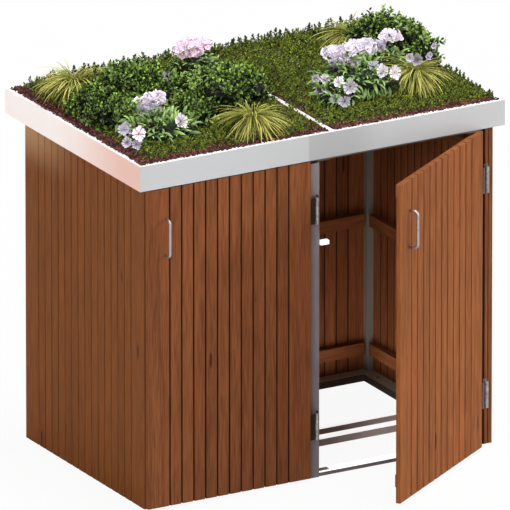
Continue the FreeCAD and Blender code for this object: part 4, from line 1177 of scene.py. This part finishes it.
@dataclass(frozen=True)
class LavaGravel:
    """The red-brown gravel that shows in strips round the carpet.

    depth is the height of the stones' middles over the CAD substrate. The bed is raised inside a
    lower ledge along the rim, and pitted all over.
    """

    strip: float = 0.075
    rim: float = 0.014
    depth: float = 0.0055
    ledge: float = 0.024
    raised: float = 0.0045
    lowered: float = 0.001
    pits: float = 0.0015
    cuts: int = 90

    def strips(self, node: str) -> Mesh:
        """The flat strips along the edges of one tray, on which stones lie."""
        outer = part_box("roof_fascia")
        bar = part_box("tray_divider")
        left = node.endswith("left")
        x_low = outer[0].x + self.rim if left else bar[1].x + 0.003
        x_high = bar[0].x - 0.003 if left else outer[1].x - self.rim
        y_low, y_high = outer[0].y + self.rim, outer[1].y - self.rim
        y_mid = y_low + self.strip
        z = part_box(node)[1].z + self.depth
        return rectangles("strips", (
            (x_low, y_low, x_high, y_mid, z), (x_low, y_mid, x_low + self.strip, y_high, z),
            (x_high - self.strip, y_mid, x_high, y_high, z)))

    def bed(self, node: str) -> Mesh:
        """The bed under the stones, with an uneven top."""
        low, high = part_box(node)
        shape = bmesh.new()
        bmesh.ops.create_cube(shape, size=1.0)
        for vertex in shape.verts:
            vertex.co = Vector([low[i] + (high[i] - low[i]) * (vertex.co[i] + 0.5) for i in range(3)])
        top = [edge for edge in shape.edges if all(vertex.co.z > high.z - 1e-6 for vertex in edge.verts)]
        bmesh.ops.subdivide_edges(shape, edges=top, cuts=self.cuts, use_grid_fill=True)
        for vertex in shape.verts:
            x, y, z = vertex.co
            if z > high.z - 1e-6:
                inside = min(x - low.x, high.x - x, y - low.y, high.y - y)
                lift = self.raised if inside > self.ledge else -self.lowered
                vertex.co.z += lift - self.pits * abs(noise.noise(vertex.co * 60.0))
        return mesh_of(f"bed_{node}", shape)

    def build(self) -> None:
        """Make the bed and the stones of each tray."""
        for index, side in enumerate(SIDES):
            node = f"substrate_{side}"
            Scatter(f"lava_stones_{side}", Spread.SURFACE, 0.0072, (0.0034, 0.0070), 1.5, 71 + index).piece(
                self.strips(node), stone(index + 5), STONES)
            add_piece(f"lava_bed_{side}", self.bed(node), [node], LAVA)


@dataclass(frozen=True)
class Handle:
    """A round bow handle with smooth bends.

    Args:
        side: The door that it rides on.
        foot: Where its lower bolt enters the board's face.
        out: Direction away from the door's face.
        reach: How far it stands out.
        span: Distance between its feet.
    """

    side: str
    foot: Triple
    out: Triple
    reach: float = 0.030
    span: float = 0.130
    bend: float = 0.014
    radius: float = 0.0047
    sides: int = 24
    steps: int = 10

    def path(self) -> list[Vector]:
        """The bar's centre line from foot to foot."""
        foot = Vector(self.foot)
        out = Vector(self.out)
        up = Vector((0.0, 0.0, 1.0))
        line = [foot]
        for end, start, sign in ((0.0, 0.0, 1.0), (self.span, 90.0, -1.0)):
            middle = foot + out * (self.reach - self.bend) + up * (end + sign * self.bend)
            for index in range(self.steps + 1):
                angle = math.radians(start + 90.0 * index / self.steps)
                line.append(middle + out * self.bend * math.sin(angle) - up * self.bend * math.cos(angle))
        line.append(foot + up * self.span)
        return line

    def build(self) -> None:
        """Make the bar as a closed tube along its centre line."""
        line = self.path()
        side = Vector(self.out).cross(Vector((0.0, 0.0, 1.0))).normalized()
        shape = bmesh.new()
        rings = []
        for index, point in enumerate(line):
            way = (line[min(index + 1, len(line) - 1)] - line[max(index - 1, 0)]).normalized()
            other = way.cross(side).normalized()
            angles = [2 * math.pi * step / self.sides for step in range(self.sides)]
            rings.append([shape.verts.new(point + self.radius * (
                side * math.cos(angle) + other * math.sin(angle))) for angle in angles])
        for first, second in zip(rings, rings[1:]):
            for corners in zip(first, first[1:] + first[:1], second[1:] + second[:1], second):
                shape.faces.new(corners)
        shape.faces.new(list(reversed(rings[0])))
        shape.faces.new(rings[-1])
        bmesh.ops.recalc_face_normals(shape, faces=shape.faces)
        for face in shape.faces:
            face.smooth = len(face.verts) == 4
        name = f"{self.side}_door_bow"
        add_piece(name, mesh_of(name, shape), [f"{self.side}_door_handle"], BRIGHT,
                  f"{self.side}_door")


def handles() -> tuple[Handle, Handle]:
    """Both handles, the right one on its open door, where its place is turned about the hinge axis."""
    height = 0.913
    front = (0.0, -1.0, 0.0)
    turn = Matrix.Rotation(math.radians(DOOR_TURN), 3, "Z")
    foot = Vector((*HINGE_AXIS, 0.0)) + turn @ Vector((-0.58525, 0.006, height))
    return (Handle("left", (-0.610, -0.442, height), front),
            Handle("right", tuple(foot), tuple(turn @ Vector(front))))


def crisp_edges(shape: Mesh, angle: float = 32.0) -> None:
    """Shade round faces smooth and keep every sharper edge crisp, without moving a point."""
    if shape.has_custom_normals:
        shape.attributes.remove(shape.attributes["custom_normal"])
    shape.shade_smooth()
    shape.set_sharp_from_angle(angle=math.radians(angle))


def paint_nodes() -> None:
    """Give every CAD node its finish."""
    for finish, names in NODE_FINISHES.items():
        for name in names:
            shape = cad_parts[name].data
            shape.materials.clear()
            shape.materials.append(finish.material())
            crisp_edges(shape)
        log.info("%s: %d nodes", finish.name, len(names))


@dataclass(frozen=True)
class Studio:
    """Camera, floor and light of the photograph.

    Each sun has a name, the direction towards it, its strength and its spread in degrees. ambient is
    the sky's light and mirrored its share in reflections. bounce is the power of the light that the
    floor throws up inside the open bay. floor_white is the share of plain white in the floor's look.
    """

    target: Triple = (-0.01509, 0.0, 0.67628)
    forward: Triple = (0.46377, 0.82144, -0.33190)
    distance: float = 76.0
    view_width: float = 1.73846
    suns: tuple[tuple[str, Triple, float, float], ...] = (
        ("top", (0.10, -0.05, 1.0), 2.2, 20.0), ("key", (0.80, -0.50, 0.36), 1.3, 14.0),
        ("left", (-0.66, -0.62, 0.42), 0.95, 20.0))
    ambient: float = 0.40
    mirrored: float = 0.8
    bounce: float = 1.8
    bay: Triple = (0.33, 0.02, 0.03)
    bay_size: Pair = (0.50, 0.60)
    floor_size: float = 30.0
    floor_white: float = 0.93

    def camera(self) -> None:
        """Set up the long lens."""
        data = bpy.data.cameras.new("camera")
        data.sensor_width = 36.0
        data.lens = data.sensor_width * self.distance / self.view_width
        data.clip_end = 600.0
        made = add_object("camera", data)
        way = Vector(self.forward).normalized()
        made.location = Vector(self.target) - way * self.distance
        made.rotation_euler = way.to_track_quat("-Z", "Y").to_euler()
        bpy.context.scene.camera = made

    def lights(self) -> None:
        """Set up the suns, the light inside the bay and the sky."""
        for name, towards, strength, spread in self.suns:
            data = bpy.data.lights.new(name, "SUN")
            data.energy = strength
            data.angle = math.radians(spread)
            add_object(name, data).rotation_euler = Vector(towards).to_track_quat("Z", "Y").to_euler()
        glow = bpy.data.lights.new("bay_bounce", "AREA")
        glow.shape = "RECTANGLE"
        glow.size, glow.size_y = self.bay_size
        glow.energy = self.bounce
        made = add_object("bay_bounce", glow)
        made.location = self.bay
        made.rotation_euler = (math.pi, 0.0, 0.0)
        made.visible_camera = False
        made.visible_glossy = False
        world = bpy.data.worlds.new("studio")
        bpy.context.scene.world = world
        maker = fresh_nodes(world)
        path = maker.node("ShaderNodeLightPath", None, None, "Is Camera Ray")
        seen = maker.math("MAXIMUM", path, path.other("Is Glossy Ray") * self.mirrored)
        strength = seen * (1.0 - self.ambient) + self.ambient
        sky = maker.node("ShaderNodeBackground", None, {"Color": WHITE, "Strength": strength})
        maker.node("ShaderNodeOutputWorld", None, {"Surface": sky})

    def floor(self) -> None:
        """Lay the white floor, which keeps a faint shadow."""
        size = self.floor_size
        mesh = rectangles("floor", [(-size, -size, size, size, 0.0)])
        made = add_object("floor", mesh)
        material = bpy.data.materials.new("floor")
        maker = fresh_nodes(material)
        colour = maker.place().noise(2.0).mix((0.66, 0.66, 0.66), (0.70, 0.70, 0.70))
        matt = maker.node("ShaderNodeBsdfPrincipled", None, {"Base Color": colour, "Roughness": 0.9})
        white = maker.node("ShaderNodeEmission", None, {"Color": WHITE, "Strength": 1.0})
        path = maker.node("ShaderNodeLightPath", None, None, "Is Camera Ray")
        mixed = maker.node("ShaderNodeMixShader", None, {0: path * self.floor_white, 1: matt, 2: white})
        maker.node("ShaderNodeOutputMaterial", None, {"Surface": mixed})
        mesh.materials.append(material)

    def build(self) -> None:
        """Set up all of the studio."""
        self.camera()
        self.lights()
        self.floor()
        bpy.context.scene.view_settings.view_transform = "Standard"
        log.info("studio: %d suns", len(self.suns))


def main() -> None:
    """Build the scene."""
    logging.basicConfig(level=logging.INFO, format="%(name)s %(message)s")
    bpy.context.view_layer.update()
    paint_nodes()
    for part in (BoxBushes(), FlowerClumps(), GrassTufts(), SedumMats(), LavaGravel(), *handles()):
        part.build()
    Studio().build()


if __name__ == "__main__":
    main()
